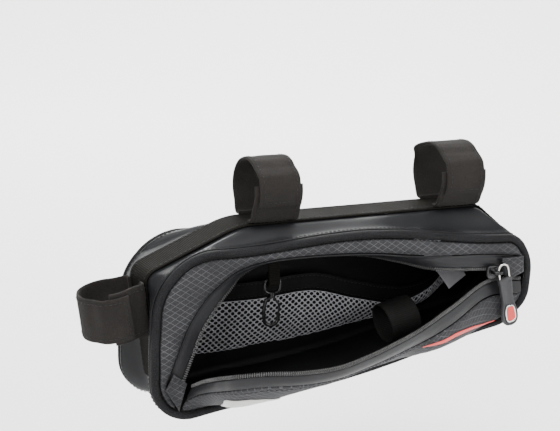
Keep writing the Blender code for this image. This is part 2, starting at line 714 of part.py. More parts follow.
def pull():
    """The slider on the zip, its wire bail, and the rubber tab with its badge."""
    centre = np.array([along(0.884), 0.0, below(0.335)])
    back = -PANEL_Y - CLOTH - GAP
    outline = ellipse(SLIDER_LENGTH, SLIDER_HEIGHT, 16, power=0.55)
    body_plate = plate("slider", [outline], SLIDER_PLATE, BLACK_METAL)
    stand(body_plate, (centre[0], back - SLIDER_PLATE / 2, centre[2]))

    bridge_x = centre[0] + 0.18 * SLIDER_LENGTH
    half_span = 0.32 * SLIDER_LENGTH
    face = back - SLIDER_PLATE
    turns = np.linspace(0, math.pi, 9)
    path = np.stack([bridge_x - half_span * np.cos(turns),
                     face + 0.5 * BRIDGE_BAR - (BRIDGE_RISE + 0.5 * BRIDGE_BAR) * np.sin(turns),
                     np.full(9, centre[2])], axis=1)
    bridge = tube("bridge_bar", path, BRIDGE_BAR / 2, 8, BLACK_METAL, closed=False)
    fuse(body_plate, bridge)

    wire_y = face - TAB_THICKNESS / 2 - GAP
    lean = np.array([math.sin(PULL_LEAN), 0.0, -math.cos(PULL_LEAN)])
    side = np.array([math.cos(PULL_LEAN), 0.0, math.sin(PULL_LEAN)])
    left = np.array([bridge_x, wire_y, centre[2] + BAIL_RISE - BAIL_WIDTH / 2])
    start = left + side * BAIL_WIDTH / 2
    leg = BAIL_LENGTH - BAIL_WIDTH / 2
    turns = np.linspace(math.pi, 0, 9)
    arc = [start + side * math.cos(t) * BAIL_WIDTH / 2 - lean * math.sin(t) * BAIL_WIDTH / 2
           for t in turns]
    path = np.array([arc[0] + lean * leg, *arc, arc[-1] + lean * leg])
    tube("pull_bail", path, BAIL_WIRE / 2, 8, NICKEL, closed=False)
    cutter = tube("bail_pockets", path, BAIL_WIRE / 2 + GAP, 8, NICKEL, closed=False)

    head = start + lean * (leg - BAIL_SINK)
    half_top, half_end = TAB_TOP_WIDTH / 2, TAB_END_WIDTH / 2
    length = TAB_LENGTH
    right_side = [(0.88 * half_top, 0.0), (half_top, 0.02 * length), (0.90 * half_top, 0.30 * length),
                  (0.90 * half_top, 0.50 * length), (0.97 * half_end, 0.72 * length),
                  (half_end, 0.80 * length), (0.86 * half_end, 0.91 * length),
                  (0.45 * half_end, 0.985 * length)]
    rim = [(x, -z) for x, z in right_side] + [(0.0, -length)] + [(-x, -z) for x, z in right_side[::-1]]
    tab = plate("pull_tab", [rim], TAB_THICKNESS, RUBBER)
    stand(tab, head, PULL_LEAN)
    cut(tab, cutter)

    drop = 0.74 * length
    front = head + lean * drop - np.array([0.0, TAB_THICKNESS / 2 + GAP + BADGE_THICKNESS / 2, 0.0])
    badge = ellipse(BADGE_WIDTH, BADGE_HEIGHT, 20, power=0.6)
    rim_piece = plate("pull_badge_rim", [badge, badge * 0.76], BADGE_THICKNESS, NICKEL)
    stand(rim_piece, front, PULL_LEAN)
    inlay = plate("pull_badge_inlay", [badge * 0.70], INLAY_THICKNESS, RED_PRINT)
    sunk = np.array([0.0, (BADGE_THICKNESS - INLAY_THICKNESS) / 2, 0.0])
    stand(inlay, front + sunk, PULL_LEAN)


def stand(made, place, lean=0.0):
    """Stands a plate up in the XZ plane at a place, leaning to the front by an angle."""
    made.rotation_euler = (math.radians(90), -lean, 0.0)
    made.rotation_mode = "XYZ"
    made.location = tuple(map(float, place))


def as_mesh(made):
    """The object with its curve turned into a mesh, its transform applied."""
    bpy.context.view_layer.update()
    mesh = bpy.data.meshes.new_from_object(made.evaluated_get(bpy.context.evaluated_depsgraph_get()))
    mesh.transform(made.matrix_world)
    shape = bmesh.new()
    shape.from_mesh(mesh)
    bmesh.ops.remove_doubles(shape, verts=shape.verts, dist=1e-6)
    bmesh.ops.recalc_face_normals(shape, faces=shape.faces)
    shape.to_mesh(mesh)
    shape.free()
    name = made.name
    bpy.data.objects.remove(made, do_unlink=True)
    fresh = bpy.data.objects.new(name, mesh)
    bpy.context.collection.objects.link(fresh)
    return fresh


def boolean(made, other, operation):
    """Joins another object to this one or cuts it away, and applies the result."""
    name = made.name
    target, tool = as_mesh(made), as_mesh(other)
    change = target.modifiers.new("shape", "BOOLEAN")
    change.operation = operation
    change.object = tool
    bpy.context.view_layer.update()
    mesh = bpy.data.meshes.new_from_object(target.evaluated_get(bpy.context.evaluated_depsgraph_get()))
    finish = target.data.materials[0] if target.data.materials else BLACK_METAL
    bpy.data.objects.remove(target, do_unlink=True)
    bpy.data.objects.remove(tool, do_unlink=True)
    mesh.materials.clear()
    mesh.materials.append(finish)
    fresh = bpy.data.objects.new(name, mesh)
    bpy.context.collection.objects.link(fresh)


def fuse(made, other):
    """Makes one body of two objects."""
    boolean(made, other, "UNION")


def cut(made, other):
    """Cuts one object's shape out of another."""
    boolean(made, other, "DIFFERENCE")


def pocket_sections(count):
    """Evenly spaced sections of the pocket: the X, the net's top and foot, and how far out it stands."""
    rows = [dict(zip(POCKET_COLUMNS, row)) for row in POCKET]
    return smooth_path([(along(row["along"]), below(row["top"]), below(row["foot"]),
                         row["out"] * POCKET_REACH) for row in rows], count)


def pocket_grid(columns, rows, first, last):
    """Grid of the pocket's front between two heights over its foot, as shares of the net's height."""
    grid = []
    for x, top, foot, out in pocket_sections(columns):
        column = []
        for share in np.linspace(first, last, rows):
            z = foot + (top - foot) * share
            lean = math.sin(min(max(share, 0.0), 1.0) * math.pi / 2)
            column.append((x, WALL_Y - NET_STRAND - out * lean, z))
        grid.append(column)
    return np.array(grid)


def net():
    """The pocket's net: a lattice of diamonds, each edge of it a strand."""
    fine = pocket_grid(2 * NET_COLUMNS + 1, 2 * NET_ROWS + 1, 0.0, 1.0)
    points, faces, index = [], [], {}

    def vertex(i, j):
        if (i, j) not in index:
            index[i, j] = len(points)
            points.append(fine[i, j])
        return index[i, j]

    wide, tall = 2 * NET_COLUMNS, 2 * NET_ROWS
    for i in range(wide + 1):
        for j in range(tall + 1):
            if (i + j) % 2 == 0:
                continue
            corners = [(i - 1, j), (i, j - 1), (i + 1, j), (i, j + 1)]
            kept = [c for c in corners if 0 <= c[0] <= wide and 0 <= c[1] <= tall]
            if len(kept) >= 3:
                faces.append(tuple(vertex(*c) for c in kept))
    mesh = bpy.data.meshes.new("mesh_pocket")
    mesh.from_pydata([tuple(map(float, p)) for p in points], [], faces)
    mesh.materials.append(NET)
    made = bpy.data.objects.new("mesh_pocket", mesh)
    bpy.context.collection.objects.link(made)
    strands = made.modifiers.new("strands", "WIREFRAME")
    strands.thickness = NET_STRAND
    strands.use_replace = True
    strands.use_boundary = True
    strands.use_even_offset = False


def pocket():
    """The net pocket and the black hem along its top."""
    net()
    height = np.concatenate([np.ones(HEM_POINTS - 6), np.linspace(1.0, 0.35, 6)]) * HEM_HEIGHT
    grid = []
    for (x, top, _, out), tall in zip(pocket_sections(HEM_POINTS), height):
        low, face = top + NET_STRAND, WALL_Y - out - CLOTH
        grid.append([(x, face, low), (x, face, low + tall)])
    grid = np.array(grid)
    shell("pocket_hem", grid, grid + np.array([0.0, CLOTH - GAP, 0.0]), LINING)


def elastic_loop():
    """The round loop of elastic sewn to the bag's floor."""
    foot_x, slope_run = along(0.69), 0.02
    floor = bottom_inside(foot_x, 0.0)
    rise = bottom_inside(foot_x + slope_run, 0.0) - floor
    axis = unit(np.array([slope_run, 0.0, rise]))
    up = np.array([-axis[2], 0.0, axis[0]])
    half = ELASTIC_THICKNESS / 2
    radius = ELASTIC_BORE / 2 + half
    centre = np.array([foot_x, -0.004, floor]) + up * (radius + half + GAP)
    rows = []
    for turn in np.linspace(0, 2 * math.pi, 26, endpoint=False):
        spoke = np.array([0.0, math.sin(turn), 0.0]) - up * math.cos(turn)
        rows.append([centre + spoke * radius + axis * side * ELASTIC_WIDTH / 2 for side in (-1, 1)])
    grid = np.array(rows)
    spokes = unit(grid.mean(axis=1) - centre)[:, None, :]
    shell("elastic_loop", grid + spokes * half, grid - spokes * half, WEBBING, wrap=True)


def hanging_hook():
    """The snap hook and the short strap that it hangs from, under the bag's crown."""
    hang_x, hang_y = along(0.337), -0.005
    ceiling = top_inside(hang_x) - GAP
    low = ceiling - HOOK_STRAP_LENGTH
    bend, throat = 0.0026, 0.0065
    path = [(0.0, ceiling), (0.0, ceiling - 0.3 * HOOK_STRAP_LENGTH), (0.0, low + throat)]
    path += [(bend * math.sin(a) + 0.6 * bend, low - bend * math.cos(a))
             for a in np.radians((-90, -45, 0, 45, 90))]
    path += [(0.7 * bend, low + throat)]
    path = smooth_path(path, 24)
    line = np.stack([np.full(len(path), hang_x), hang_y + path[:, 0], path[:, 1]], axis=1)
    tangent = unit(np.gradient(line, axis=0))
    half = unit(np.cross(tangent, (1.0, 0.0, 0.0)))[:, None] * HOOK_STRAP_THICKNESS / 2
    sides = [line + np.array([side * HOOK_STRAP_WIDTH / 2, 0.0, 0.0]) for side in (-1, 1)]
    grid = np.stack(sides, axis=1)
    shell("hook_strap", grid + half, grid - half, WEBBING)

    rim = ellipse(HOOK_WIDTH, HOOK_LENGTH, 24, (0.0, -HOOK_LENGTH / 2 + 0.0022), 0.55)
    slot = ellipse(HOOK_STRAP_WIDTH + 0.0010, 0.0056, 12, (0.0, -0.0028), 0.5)
    jaw = ellipse(0.58 * HOOK_WIDTH, 0.52 * HOOK_LENGTH, 18, (0.0, -0.62 * HOOK_LENGTH), 0.7)
    hook = plate("snap_hook", [rim, slot, jaw], HOOK_THICKNESS, BLACK_PLASTIC)
    stand(hook, (hang_x, hang_y + 0.6 * bend, low + 0.0012))


def care_label():
    """The blank cloth label sewn to the rear wall, its free end curling out."""
    top = np.array([along(0.800), WALL_Y - GAP, below(0.215)])
    down = unit(np.array([0.56, 0.0, -0.83]))
    across = np.array([-down[2], 0.0, down[0]])
    rows = []
    for share in np.linspace(0, 1, 8):
        out = np.array([0.0, -LABEL_CURL * math.sin(share * math.pi / 2) ** 2, 0.0])
        rows.append([top + down * LABEL_LENGTH * share + out + across * LABEL_WIDTH * s
                     for s in (-0.5, 0.0, 0.5)])
    grid = np.array(rows)
    shell("care_label", grid, grid - np.array([0.0, LINING_CLOTH, 0.0]), LABEL)


def bottom_inside(x, y):
    """The Z of the lining's inner face on the bag's floor at this x."""
    ring = body_outline(y, CLOTH + GAP + LINING_CLOTH)
    low = ring[ring[:, 1] < below(0.55)]
    order = np.argsort(low[:, 0])
    return float(np.interp(x, low[order, 0], low[order, 1]))


def top_inside(x):
    """The Z of the lining's inner face under the bag's crown at this x."""
    ring = body_outline(0.0, CLOTH + GAP + LINING_CLOTH)
    high = ring[ring[:, 1] > below(0.30)]
    order = np.argsort(high[:, 0])
    return float(np.interp(x, high[order, 0], high[order, 1]))


def trims():
    """The red line and the reflective patch, each laid over the lip's own facets."""
    tape_end = TEETH_WIDTH + 2 * GAP + TAPE_WIDTH
    cloth = faced_out(lip_surface(LIP_POINTS, from_seam(tape_end + 3 * GAP, 6)))
    folds = {"flap_trim_line": (), "reflective_patch": (0.4, 0.6)}
    for name, finish in (("flap_trim_line", RED_PRINT), ("reflective_patch", REFLECTIVE)):
        rows = [dict(zip(PRINT_COLUMNS, row)) for row in PRINTS[name]]
        place, low, high = (np.array([row[column] for row in rows]) for column in PRINT_COLUMNS)
        grid = []
        for section in np.arange(place[0], place[-1] + 0.25, 0.5):
            first, share = int(section), section % 1
            line = cloth[first] * (1 - share) + cloth[first + 1] * share
            shares = [np.interp(section, place, low), *folds[name], np.interp(section, place, high)]
            grid.append([resample(line, 2, cut, 1.0)[0] for cut in shares])
        sheet(name, np.array(grid), TRIM_THICKNESS, finish, lift=PRINT_LIFT)


body()
front_panel()
flap_and_lower_tape()
upper_zip()
straps()
zip_patches()
pull()
pocket()
elastic_loop()
hanging_hook()
care_label()
trims()
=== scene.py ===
"""Looks of a slim frame bag that hangs by three soft loops, its side zip open and its lip folded out.

Metres, +Z up, -Y faces the zip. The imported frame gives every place. Each class below dresses one
sub-assembly of the bag.
"""

import json
import logging
import math
from dataclasses import dataclass
from enum import Enum
from typing import Callable, Sequence

import bmesh
import bpy
import numpy as np
from mathutils import Matrix, Vector, noise

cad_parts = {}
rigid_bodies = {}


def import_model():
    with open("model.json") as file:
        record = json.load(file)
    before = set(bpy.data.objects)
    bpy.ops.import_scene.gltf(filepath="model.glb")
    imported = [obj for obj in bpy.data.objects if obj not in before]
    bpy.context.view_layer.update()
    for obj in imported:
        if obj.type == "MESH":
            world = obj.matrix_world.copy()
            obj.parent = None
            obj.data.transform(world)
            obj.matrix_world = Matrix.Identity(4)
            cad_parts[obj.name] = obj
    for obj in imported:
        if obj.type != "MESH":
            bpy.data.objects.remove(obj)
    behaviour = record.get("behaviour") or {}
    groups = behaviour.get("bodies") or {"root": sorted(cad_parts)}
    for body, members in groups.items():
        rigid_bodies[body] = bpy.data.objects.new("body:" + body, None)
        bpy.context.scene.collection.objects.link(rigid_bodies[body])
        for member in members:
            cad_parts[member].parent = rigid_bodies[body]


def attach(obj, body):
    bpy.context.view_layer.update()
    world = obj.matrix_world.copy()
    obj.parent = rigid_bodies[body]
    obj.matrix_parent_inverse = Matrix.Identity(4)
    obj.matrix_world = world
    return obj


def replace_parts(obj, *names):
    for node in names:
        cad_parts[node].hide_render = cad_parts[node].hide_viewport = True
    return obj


LOG = logging.getLogger("frame_bag")
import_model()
Array = np.ndarray
Rule = Callable[[Array], Array]


class Pattern(Enum):
    """What a surface is made of, close up."""

    WEAVE = "weave"
    RIPSTOP = "ripstop"
    RIBBED = "ribbed"
    FELT = "felt"
    SATIN = "satin"
    SMOOTH = "smooth"


class Layout(Enum):
    """Where a cloth's own coordinates come from."""

    STRIP = "lengths along and across the piece"
    SLOPE = "x, and the length across the piece"
    FLAT = "x and z"


def new_group(name: str, inputs: Sequence[tuple], outputs: Sequence[str]) -> bpy.types.NodeTree:
    """Makes an empty shader node group with its sockets.

    Args:
        name: The group's name.
        inputs: Pairs of a socket's name and its default, a number or None for a vector.
        outputs: Names of the group's number outputs.

    Returns:
        The group, with its Group Input and Group Output nodes in place.
    """
    group = bpy.data.node_groups.new(name, "ShaderNodeTree")
    for label, default in inputs:
        kind = "NodeSocketVector" if default is None else "NodeSocketFloat"
        socket = group.interface.new_socket(label, in_out="INPUT", socket_type=kind)
        if default is not None:
            socket.default_value = default
    for label in outputs:
        group.interface.new_socket(label, in_out="OUTPUT", socket_type="NodeSocketFloat")
    group.nodes.new("NodeGroupInput").name = "in"
    group.nodes.new("NodeGroupOutput").name = "out"
    return group


@dataclass
class Wiring:
    """A node tree being wired up."""

    tree: bpy.types.NodeTree

    def link(self, source: bpy.types.NodeSocket, target: bpy.types.NodeSocket) -> None:
        """Joins two sockets."""
        self.tree.links.new(source, target)

    def math(self, operation: str, first: object, second: object = 0.0) -> bpy.types.NodeSocket:
        """One math node on two numbers or sockets.

        Args:
            operation: The math node's operation.
            first: A number, or the socket that feeds the first input.
            second: A number, or the socket that feeds the second input.

        Returns:
            The node's output socket.
        """
        node = self.tree.nodes.new("ShaderNodeMath")
        node.operation = operation
        for socket, value in zip(node.inputs, (first, second)):
            if isinstance(value, (int, float)):
                socket.default_value = value
            else:
                self.link(value, socket)
        return node.outputs[0]

    def soft_step(self, value: bpy.types.NodeSocket, low: float, high: float) -> bpy.types.NodeSocket:
        """A smooth step of a value from 0 at low to 1 at high.

        Args:
            value: The socket that is stepped.
            low: Where the step starts.
            high: Where it ends.

        Returns:
            The step's output socket.
        """
        node = self.tree.nodes.new("ShaderNodeMapRange")
        node.interpolation_type = "SMOOTHSTEP"
        node.inputs["From Min"].default_value = low
        node.inputs["From Max"].default_value = high
        self.link(value, node.inputs["Value"])
        return node.outputs["Result"]

    def split(self, vector: bpy.types.NodeSocket) -> tuple:
        """Takes a vector apart.

        Args:
            vector: The vector's socket.

        Returns:
            The sockets of its X and of its Y.
        """
        node = self.tree.nodes.new("ShaderNodeSeparateXYZ")
        self.link(vector, node.inputs[0])
        return node.outputs["X"], node.outputs["Y"]


def weave_group() -> bpy.types.NodeTree:
    """Builds the plain weave's height, from the cloth's own coordinates and its threads to the metre.

    Returns:
        The group.
    """
    group = new_group("plain_weave", [("Vector", None), ("Threads", 900.0)], ["Height"])
    wire = Wiring(group)
    given = group.nodes["in"]
    across, along = wire.split(given.outputs["Vector"])
    turns = wire.math("MULTIPLY", given.outputs["Threads"], 2 * math.pi)
    waves = [wire.math("SINE", wire.math("MULTIPLY", value, turns)) for value in (across, along)]
    product = wire.math("MULTIPLY", waves[0], waves[1])
    height = wire.math("ADD", wire.math("MULTIPLY", product, 0.5), 0.5)
    wire.link(height, group.nodes["out"].inputs["Height"])
    return group


def rib_group() -> bpy.types.NodeTree:
    """Builds cross ribs with a finer thread along them, as on webbing and elastic.

    Returns:
        The group.
    """
    group = new_group("cross_ribs", [("Vector", None), ("Ribs", 500.0)], ["Height"])
    wire = Wiring(group)
    given = group.nodes["in"]
    across, along = wire.split(given.outputs["Vector"])
    parts = []
    for place, pace, share in ((across, 1.0, 0.75), (along, 1.6, 0.25)):
        turns = wire.math("MULTIPLY", place, wire.math("MULTIPLY", given.outputs["Ribs"], pace * math.pi))
        wave = wire.math("ABSOLUTE", wire.math("SINE", turns))
        parts.append(wire.math("MULTIPLY", wave, share))
    height = wire.math("ADD", parts[0], parts[1])
    wire.link(height, group.nodes["out"].inputs["Height"])
    return group


def diamond_group() -> bpy.types.NodeTree:
    """Builds the ripstop's crossing reinforcement threads as a mask of diamonds.

    Returns:
        The group.
    """
    sockets = [("Vector", None), ("Cell Width", 0.0066), ("Cell Height", 0.0040)]
    group = new_group("ripstop_diamonds", sockets, ["Mask"])
    wire = Wiring(group)
    given = group.nodes["in"]
    across, along = wire.split(given.outputs["Vector"])
    x = wire.math("DIVIDE", across, given.outputs["Cell Width"])
    y = wire.math("DIVIDE", along, given.outputs["Cell Height"])
    lines = []
    for operation in ("ADD", "SUBTRACT"):
        phase = wire.math("PINGPONG", wire.math(operation, x, y), 0.5)
        lines.append(wire.soft_step(phase, 0.42, 0.485))
    wire.link(wire.math("MAXIMUM", lines[0], lines[1]), group.nodes["out"].inputs["Mask"])
    return group


def mottle_group() -> bpy.types.NodeTree:
    """Builds two noises, one broad and one fine, for uneven colour, handling marks and fuzz.

    Returns:
        The group.
    """
    sockets = [("Vector", None), ("Broad", 40.0), ("Fine", 1600.0)]
    group = new_group("mottle", sockets, ["Broad Mask", "Fine Mask"])
    wire = Wiring(group)
    given = group.nodes["in"]
    for label, detail in (("Broad", 3.0), ("Fine", 2.0)):
        texture = group.nodes.new("ShaderNodeTexNoise")
        texture.inputs["Detail"].default_value = detail
        wire.link(given.outputs["Vector"], texture.inputs["Vector"])
        wire.link(given.outputs[label], texture.inputs["Scale"])
        mask = wire.soft_step(texture.outputs[0], 0.3, 0.7)
        wire.link(mask, group.nodes["out"].inputs[f"{label} Mask"])
    return group


GROUPS = {
    "weave": weave_group(),
    "ribs": rib_group(),
    "diamonds": diamond_group(),
    "mottle": mottle_group(),
}


@dataclass(frozen=True)
class Finish:
    """One finish: its colours, gloss and close-up pattern.

    Attributes:
        name: The material's name.
        slot: The record's material slot; not used.
        base: Linear colour of the cloth or metal.
        light: Linear colour of its raised threads, worn places or specks.
        roughness: The lowest roughness, to which the mottle adds spread.
        spread: How much roughness the mottle adds.
        metallic: 1 for bare metal.
        sheen: Weight of the fuzz that catches light at the edges.
        coat: Weight of a thin clear layer.
        relief: Strength of the bump.
        threads: Threads to the metre.
        tint: How far the light colour shows.
        cell: Width and height of a ripstop diamond.
        gloss: Specular level.
        pattern: The close-up pattern.
    """

    name: str
    slot: str
    base: tuple
    light: tuple
    roughness: float
    spread: float = 0.08
    metallic: float = 0.0
    sheen: float = 0.0
    coat: float = 0.0
    relief: float = 0.15
    threads: float = 900.0
    tint: float = 0.25
    cell: tuple = (0.0066, 0.0040)
    gloss: float = 0.30
    pattern: Pattern = Pattern.WEAVE

    def place(self, wire: Wiring, group: str, coords: bpy.types.NodeSocket) -> bpy.types.Node:
        """Puts one of the shared groups into this finish's tree.

        Args:
            wire: The tree's wiring.
            group: The group's key.
            coords: The coordinates that it works on.

        Returns:
            The group's node.
        """
        node = wire.tree.nodes.new("ShaderNodeGroup")
        node.node_tree = GROUPS[group]
        wire.link(coords, node.inputs["Vector"])
        return node

    def build(self) -> bpy.types.Material:
        """Makes the material.

        Returns:
            A node material whose colour, roughness and relief all vary over the surface.
        """
        made = bpy.data.materials.new(self.name)
        made.use_nodes = True
        wire = Wiring(made.node_tree)
        shader = made.node_tree.nodes["Principled BSDF"]
        coords = made.node_tree.nodes.new("ShaderNodeTexCoord")
        mottle = self.place(wire, "mottle", coords.outputs["Object"])
        height = mottle.outputs["Fine Mask"]
        tint = wire.math("MULTIPLY", mottle.outputs["Fine Mask"], self.tint)
        if self.pattern in (Pattern.WEAVE, Pattern.RIPSTOP, Pattern.SATIN):
            weave = self.place(wire, "weave", coords.outputs["UV"])
            weave.inputs["Threads"].default_value = self.threads
            height = weave.outputs["Height"]
            fuzz = wire.math("MULTIPLY", height, mottle.outputs["Fine Mask"])
            tint = wire.math("MULTIPLY", fuzz, self.tint)
        if self.pattern is Pattern.RIBBED:
            ribs = self.place(wire, "ribs", coords.outputs["UV"])
            ribs.inputs["Ribs"].default_value = self.threads
            height = ribs.outputs["Height"]
            tint = wire.math("MULTIPLY", height, self.tint)
        if self.pattern is Pattern.RIPSTOP:
            grid = self.place(wire, "diamonds", coords.outputs["UV"])
            grid.inputs["Cell Width"].default_value = self.cell[0]
            grid.inputs["Cell Height"].default_value = self.cell[1]
            faded = wire.math("MULTIPLY", mottle.outputs["Broad Mask"], 0.65)
            lines = wire.math("MULTIPLY", grid.outputs["Mask"], wire.math("ADD", 0.35, faded))
            tint = wire.math("MAXIMUM", tint, lines)
            height = wire.math("ADD", wire.math("MULTIPLY", height, 0.4), grid.outputs["Mask"])
        worn = wire.math("MULTIPLY", mottle.outputs["Broad Mask"], 0.12)
        mix = made.node_tree.nodes.new("ShaderNodeMix")
        mix.data_type = "RGBA"
        mix.inputs["A"].default_value = (*self.base, 1.0)
        mix.inputs["B"].default_value = (*self.light, 1.0)
        wire.link(wire.math("ADD", tint, worn), mix.inputs["Factor"])
        wire.link(mix.outputs["Result"], shader.inputs["Base Color"])
        uneven = wire.math("MULTIPLY", mottle.outputs["Broad Mask"], self.spread)
        rough = wire.math("ADD", uneven, self.roughness)
        wire.link(rough, shader.inputs["Roughness"])
        bump = made.node_tree.nodes.new("ShaderNodeBump")
        bump.inputs["Strength"].default_value = self.relief
        bump.inputs["Distance"].default_value = 0.0004
        wire.link(height, bump.inputs["Height"])
        wire.link(bump.outputs["Normal"], shader.inputs["Normal"])
        shader.inputs["Metallic"].default_value = self.metallic
        shader.inputs["Specular IOR Level"].default_value = self.gloss
        shader.inputs["Sheen Weight"].default_value = self.sheen
        shader.inputs["Sheen Roughness"].default_value = 0.5
        shader.inputs["Coat Weight"].default_value = self.coat
        shader.inputs["Coat Roughness"].default_value = 0.35
        return made


COATED = Finish("coated_cloth", "coated_cloth", (0.0070, 0.0073, 0.0082), (0.017, 0.0175, 0.019), 0.40,
                relief=0.05, threads=1500.0, gloss=0.17, pattern=Pattern.SATIN)
RIPSTOP = Finish("ripstop", "ripstop", (0.0090, 0.0090, 0.0100), (0.085, 0.085, 0.092), 0.60,
                 relief=0.35, threads=1100.0, tint=0.42, gloss=0.20, pattern=Pattern.RIPSTOP)
WELT_CLOTH = Finish("welt_cloth", "ripstop", (0.0035, 0.0035, 0.0038), (0.034, 0.034, 0.037), 0.65,
                    relief=0.35, threads=1000.0, tint=0.60, gloss=0.10, pattern=Pattern.WEAVE)
WEBBING = Finish("ribbed_webbing", "webbing", (0.0016, 0.0015, 0.0014), (0.017, 0.016, 0.013), 0.80,
                 relief=0.60, threads=900.0, tint=0.50, gloss=0.06, pattern=Pattern.RIBBED)
LOOP_CLOTH = Finish("loop_cloth", "loop_cloth", (0.0110, 0.0098, 0.0090), (0.038, 0.034, 0.031), 0.85,
                    sheen=0.02, relief=0.45, threads=1150.0, tint=0.55, gloss=0.10)
TAPE = Finish("zip_tape", "zip_tape", (0.008, 0.008, 0.009), (0.030, 0.030, 0.033), 0.38,
              relief=0.12, threads=1200.0, tint=0.35, gloss=0.22, pattern=Pattern.SATIN)
TEETH = Finish("zip_teeth", "zip_teeth", (0.022, 0.022, 0.022), (0.150, 0.150, 0.146), 0.36,
               coat=0.1, relief=0.05, tint=0.5, gloss=0.4, pattern=Pattern.SMOOTH)
LINING = Finish("lining_cloth", "lining", (0.0022, 0.0022, 0.0023), (0.009, 0.009, 0.009), 0.50,
                relief=0.20, threads=1300.0, tint=0.4, gloss=0.12, pattern=Pattern.WEAVE)
NET = Finish("net_thread", "net", (0.300, 0.300, 0.320), (0.520, 0.520, 0.550), 0.62,
             sheen=0.05, relief=0.30, tint=0.6, pattern=Pattern.FELT)
ELASTIC = Finish("elastic", "webbing", (0.0030, 0.0028, 0.0027), (0.018, 0.017, 0.016), 0.65,
                 relief=0.50, threads=800.0, tint=0.5, gloss=0.12, pattern=Pattern.RIBBED)
THREAD = Finish("thread", "loop_cloth", (0.007, 0.007, 0.007), (0.034, 0.034, 0.034), 0.50,
                relief=0.10, gloss=0.2, pattern=Pattern.SMOOTH)
BLACK_METAL = Finish("black_metal", "black_metal", (0.018, 0.018, 0.019), (0.110, 0.110, 0.115), 0.24,
                     metallic=0.85, coat=0.25, relief=0.04, tint=0.15, pattern=Pattern.SMOOTH)
NICKEL = Finish("nickel", "nickel", (0.560, 0.545, 0.510), (0.720, 0.710, 0.680), 0.20,
                metallic=1.0, relief=0.03, tint=0.3, pattern=Pattern.SMOOTH)
RUBBER = Finish("rubber", "rubber", (0.028, 0.028, 0.030), (0.048, 0.048, 0.051), 0.55,
                relief=0.12, tint=0.3, pattern=Pattern.FELT)
PLASTIC = Finish("black_plastic", "black_plastic", (0.004, 0.004, 0.004), (0.016, 0.016, 0.016), 0.22,
                 coat=0.10, relief=0.04, tint=0.2, gloss=0.35, pattern=Pattern.SMOOTH)
RED = Finish("red_print", "red_print", (0.560, 0.040, 0.034), (0.760, 0.130, 0.105), 0.38,
             coat=0.1, relief=0.12, threads=1100.0, tint=0.35, pattern=Pattern.WEAVE)
FILM = Finish("reflective_film", "reflective_film", (0.430, 0.420, 0.400), (0.580, 0.570, 0.545), 0.34,
              coat=0.2, relief=0.12, threads=1500.0, tint=0.4, pattern=Pattern.WEAVE)
LABEL = Finish("label_cloth", "label_cloth", (0.560, 0.550, 0.590), (0.680, 0.670, 0.710), 0.50,
               sheen=0.05, relief=0.12, threads=1600.0, tint=0.3, pattern=Pattern.SATIN)

MADE: dict = {}


def finish_of(finish: Finish) -> bpy.types.Material:
    """The material of a finish, built on its first use.

    Args:
        finish: The finish.

    Returns:
        Its material.
    """
    if finish.name not in MADE:
        MADE[finish.name] = finish.build()
    return MADE[finish.name]


def unit(vectors: Array) -> Array:
    """Each vector at length 1."""
    return vectors / np.maximum(np.linalg.norm(vectors, axis=-1, keepdims=True), 1e-12)


def resample(points: Array, count: int, start: float = 0.0, end: float = 1.0) -> Array:
    """Evenly spaced points on a stretch of an open line.

    Args:
        points: The line's points, one a row.
        count: How many points to return.
        start: Share of the line's length where the stretch starts.
        end: Share where it ends.

    Returns:
        The new points.
    """
    points = np.asarray(points, float)
    lengths = np.concatenate([[0.0], np.cumsum(np.linalg.norm(np.diff(points, axis=0), axis=1))])
    wanted = np.linspace(start, end, count) * lengths[-1]
    return np.stack([np.interp(wanted, lengths, column) for column in points.T], axis=1)


def smooth_path(rows: Sequence, count: int) -> Array:
    """Evenly spaced points on a smooth curve through rows, whose columns may be more than places.

    Args:
        rows: The rows that the curve runs through.
        count: How many points to return.

    Returns:
        The points on the curve.
    """
    rows = np.asarray(rows, float)
    steps = np.linalg.norm(np.diff(rows, axis=0), axis=1)
    knots = np.concatenate([[0.0], np.cumsum(steps)])
    slopes = np.gradient(rows, knots, axis=0)
    dense = np.linspace(0, knots[-1], 60 * len(rows))
    span = np.clip(np.searchsorted(knots, dense, side="right") - 1, 0, len(rows) - 2)
    width = (knots[span + 1] - knots[span])[:, None]
    s = ((dense - knots[span]) / width[:, 0])[:, None]
    curve = ((2 * s**3 - 3 * s**2 + 1) * rows[span] + (s**3 - 2 * s**2 + s) * width * slopes[span]
             + (3 * s**2 - 2 * s**3) * rows[span + 1] + (s**3 - s**2) * width * slopes[span + 1])
    return resample(curve, count)


def in_plane(line: Array, y: float | Array) -> Array:
    """(x, z) rows as (x, y, z) rows at this y."""
    line = np.asarray(line)
    return np.stack([line[:, 0], np.broadcast_to(y, len(line)), line[:, 1]], axis=1)


def inset(outline: Array, distance: float) -> Array:
    """A closed outline moved inwards.

    Args:
        outline: Its (x, z) rows, clockwise seen from the zip side.
        distance: How far it moves in.

    Returns:
        The moved rows.
    """
    ahead = unit(np.roll(outline, -1, axis=0) - outline)
    tangent = unit(ahead + np.roll(ahead, 1, axis=0))
    inward = np.stack([tangent[:, 1], -tangent[:, 0]], axis=1)
    spread = np.sqrt((1 + np.sum(ahead * np.roll(ahead, 1, axis=0), axis=1)) / 2)
    return outline + inward * (distance / spread)[:, None]


def offset_line(line: Array, distance: float | Array) -> Array:
    """An open line of (x, z) rows moved to the left of its direction."""
    tangent = unit(np.gradient(line, axis=0))
    return line + distance * np.stack([-tangent[:, 1], tangent[:, 0]], axis=1)


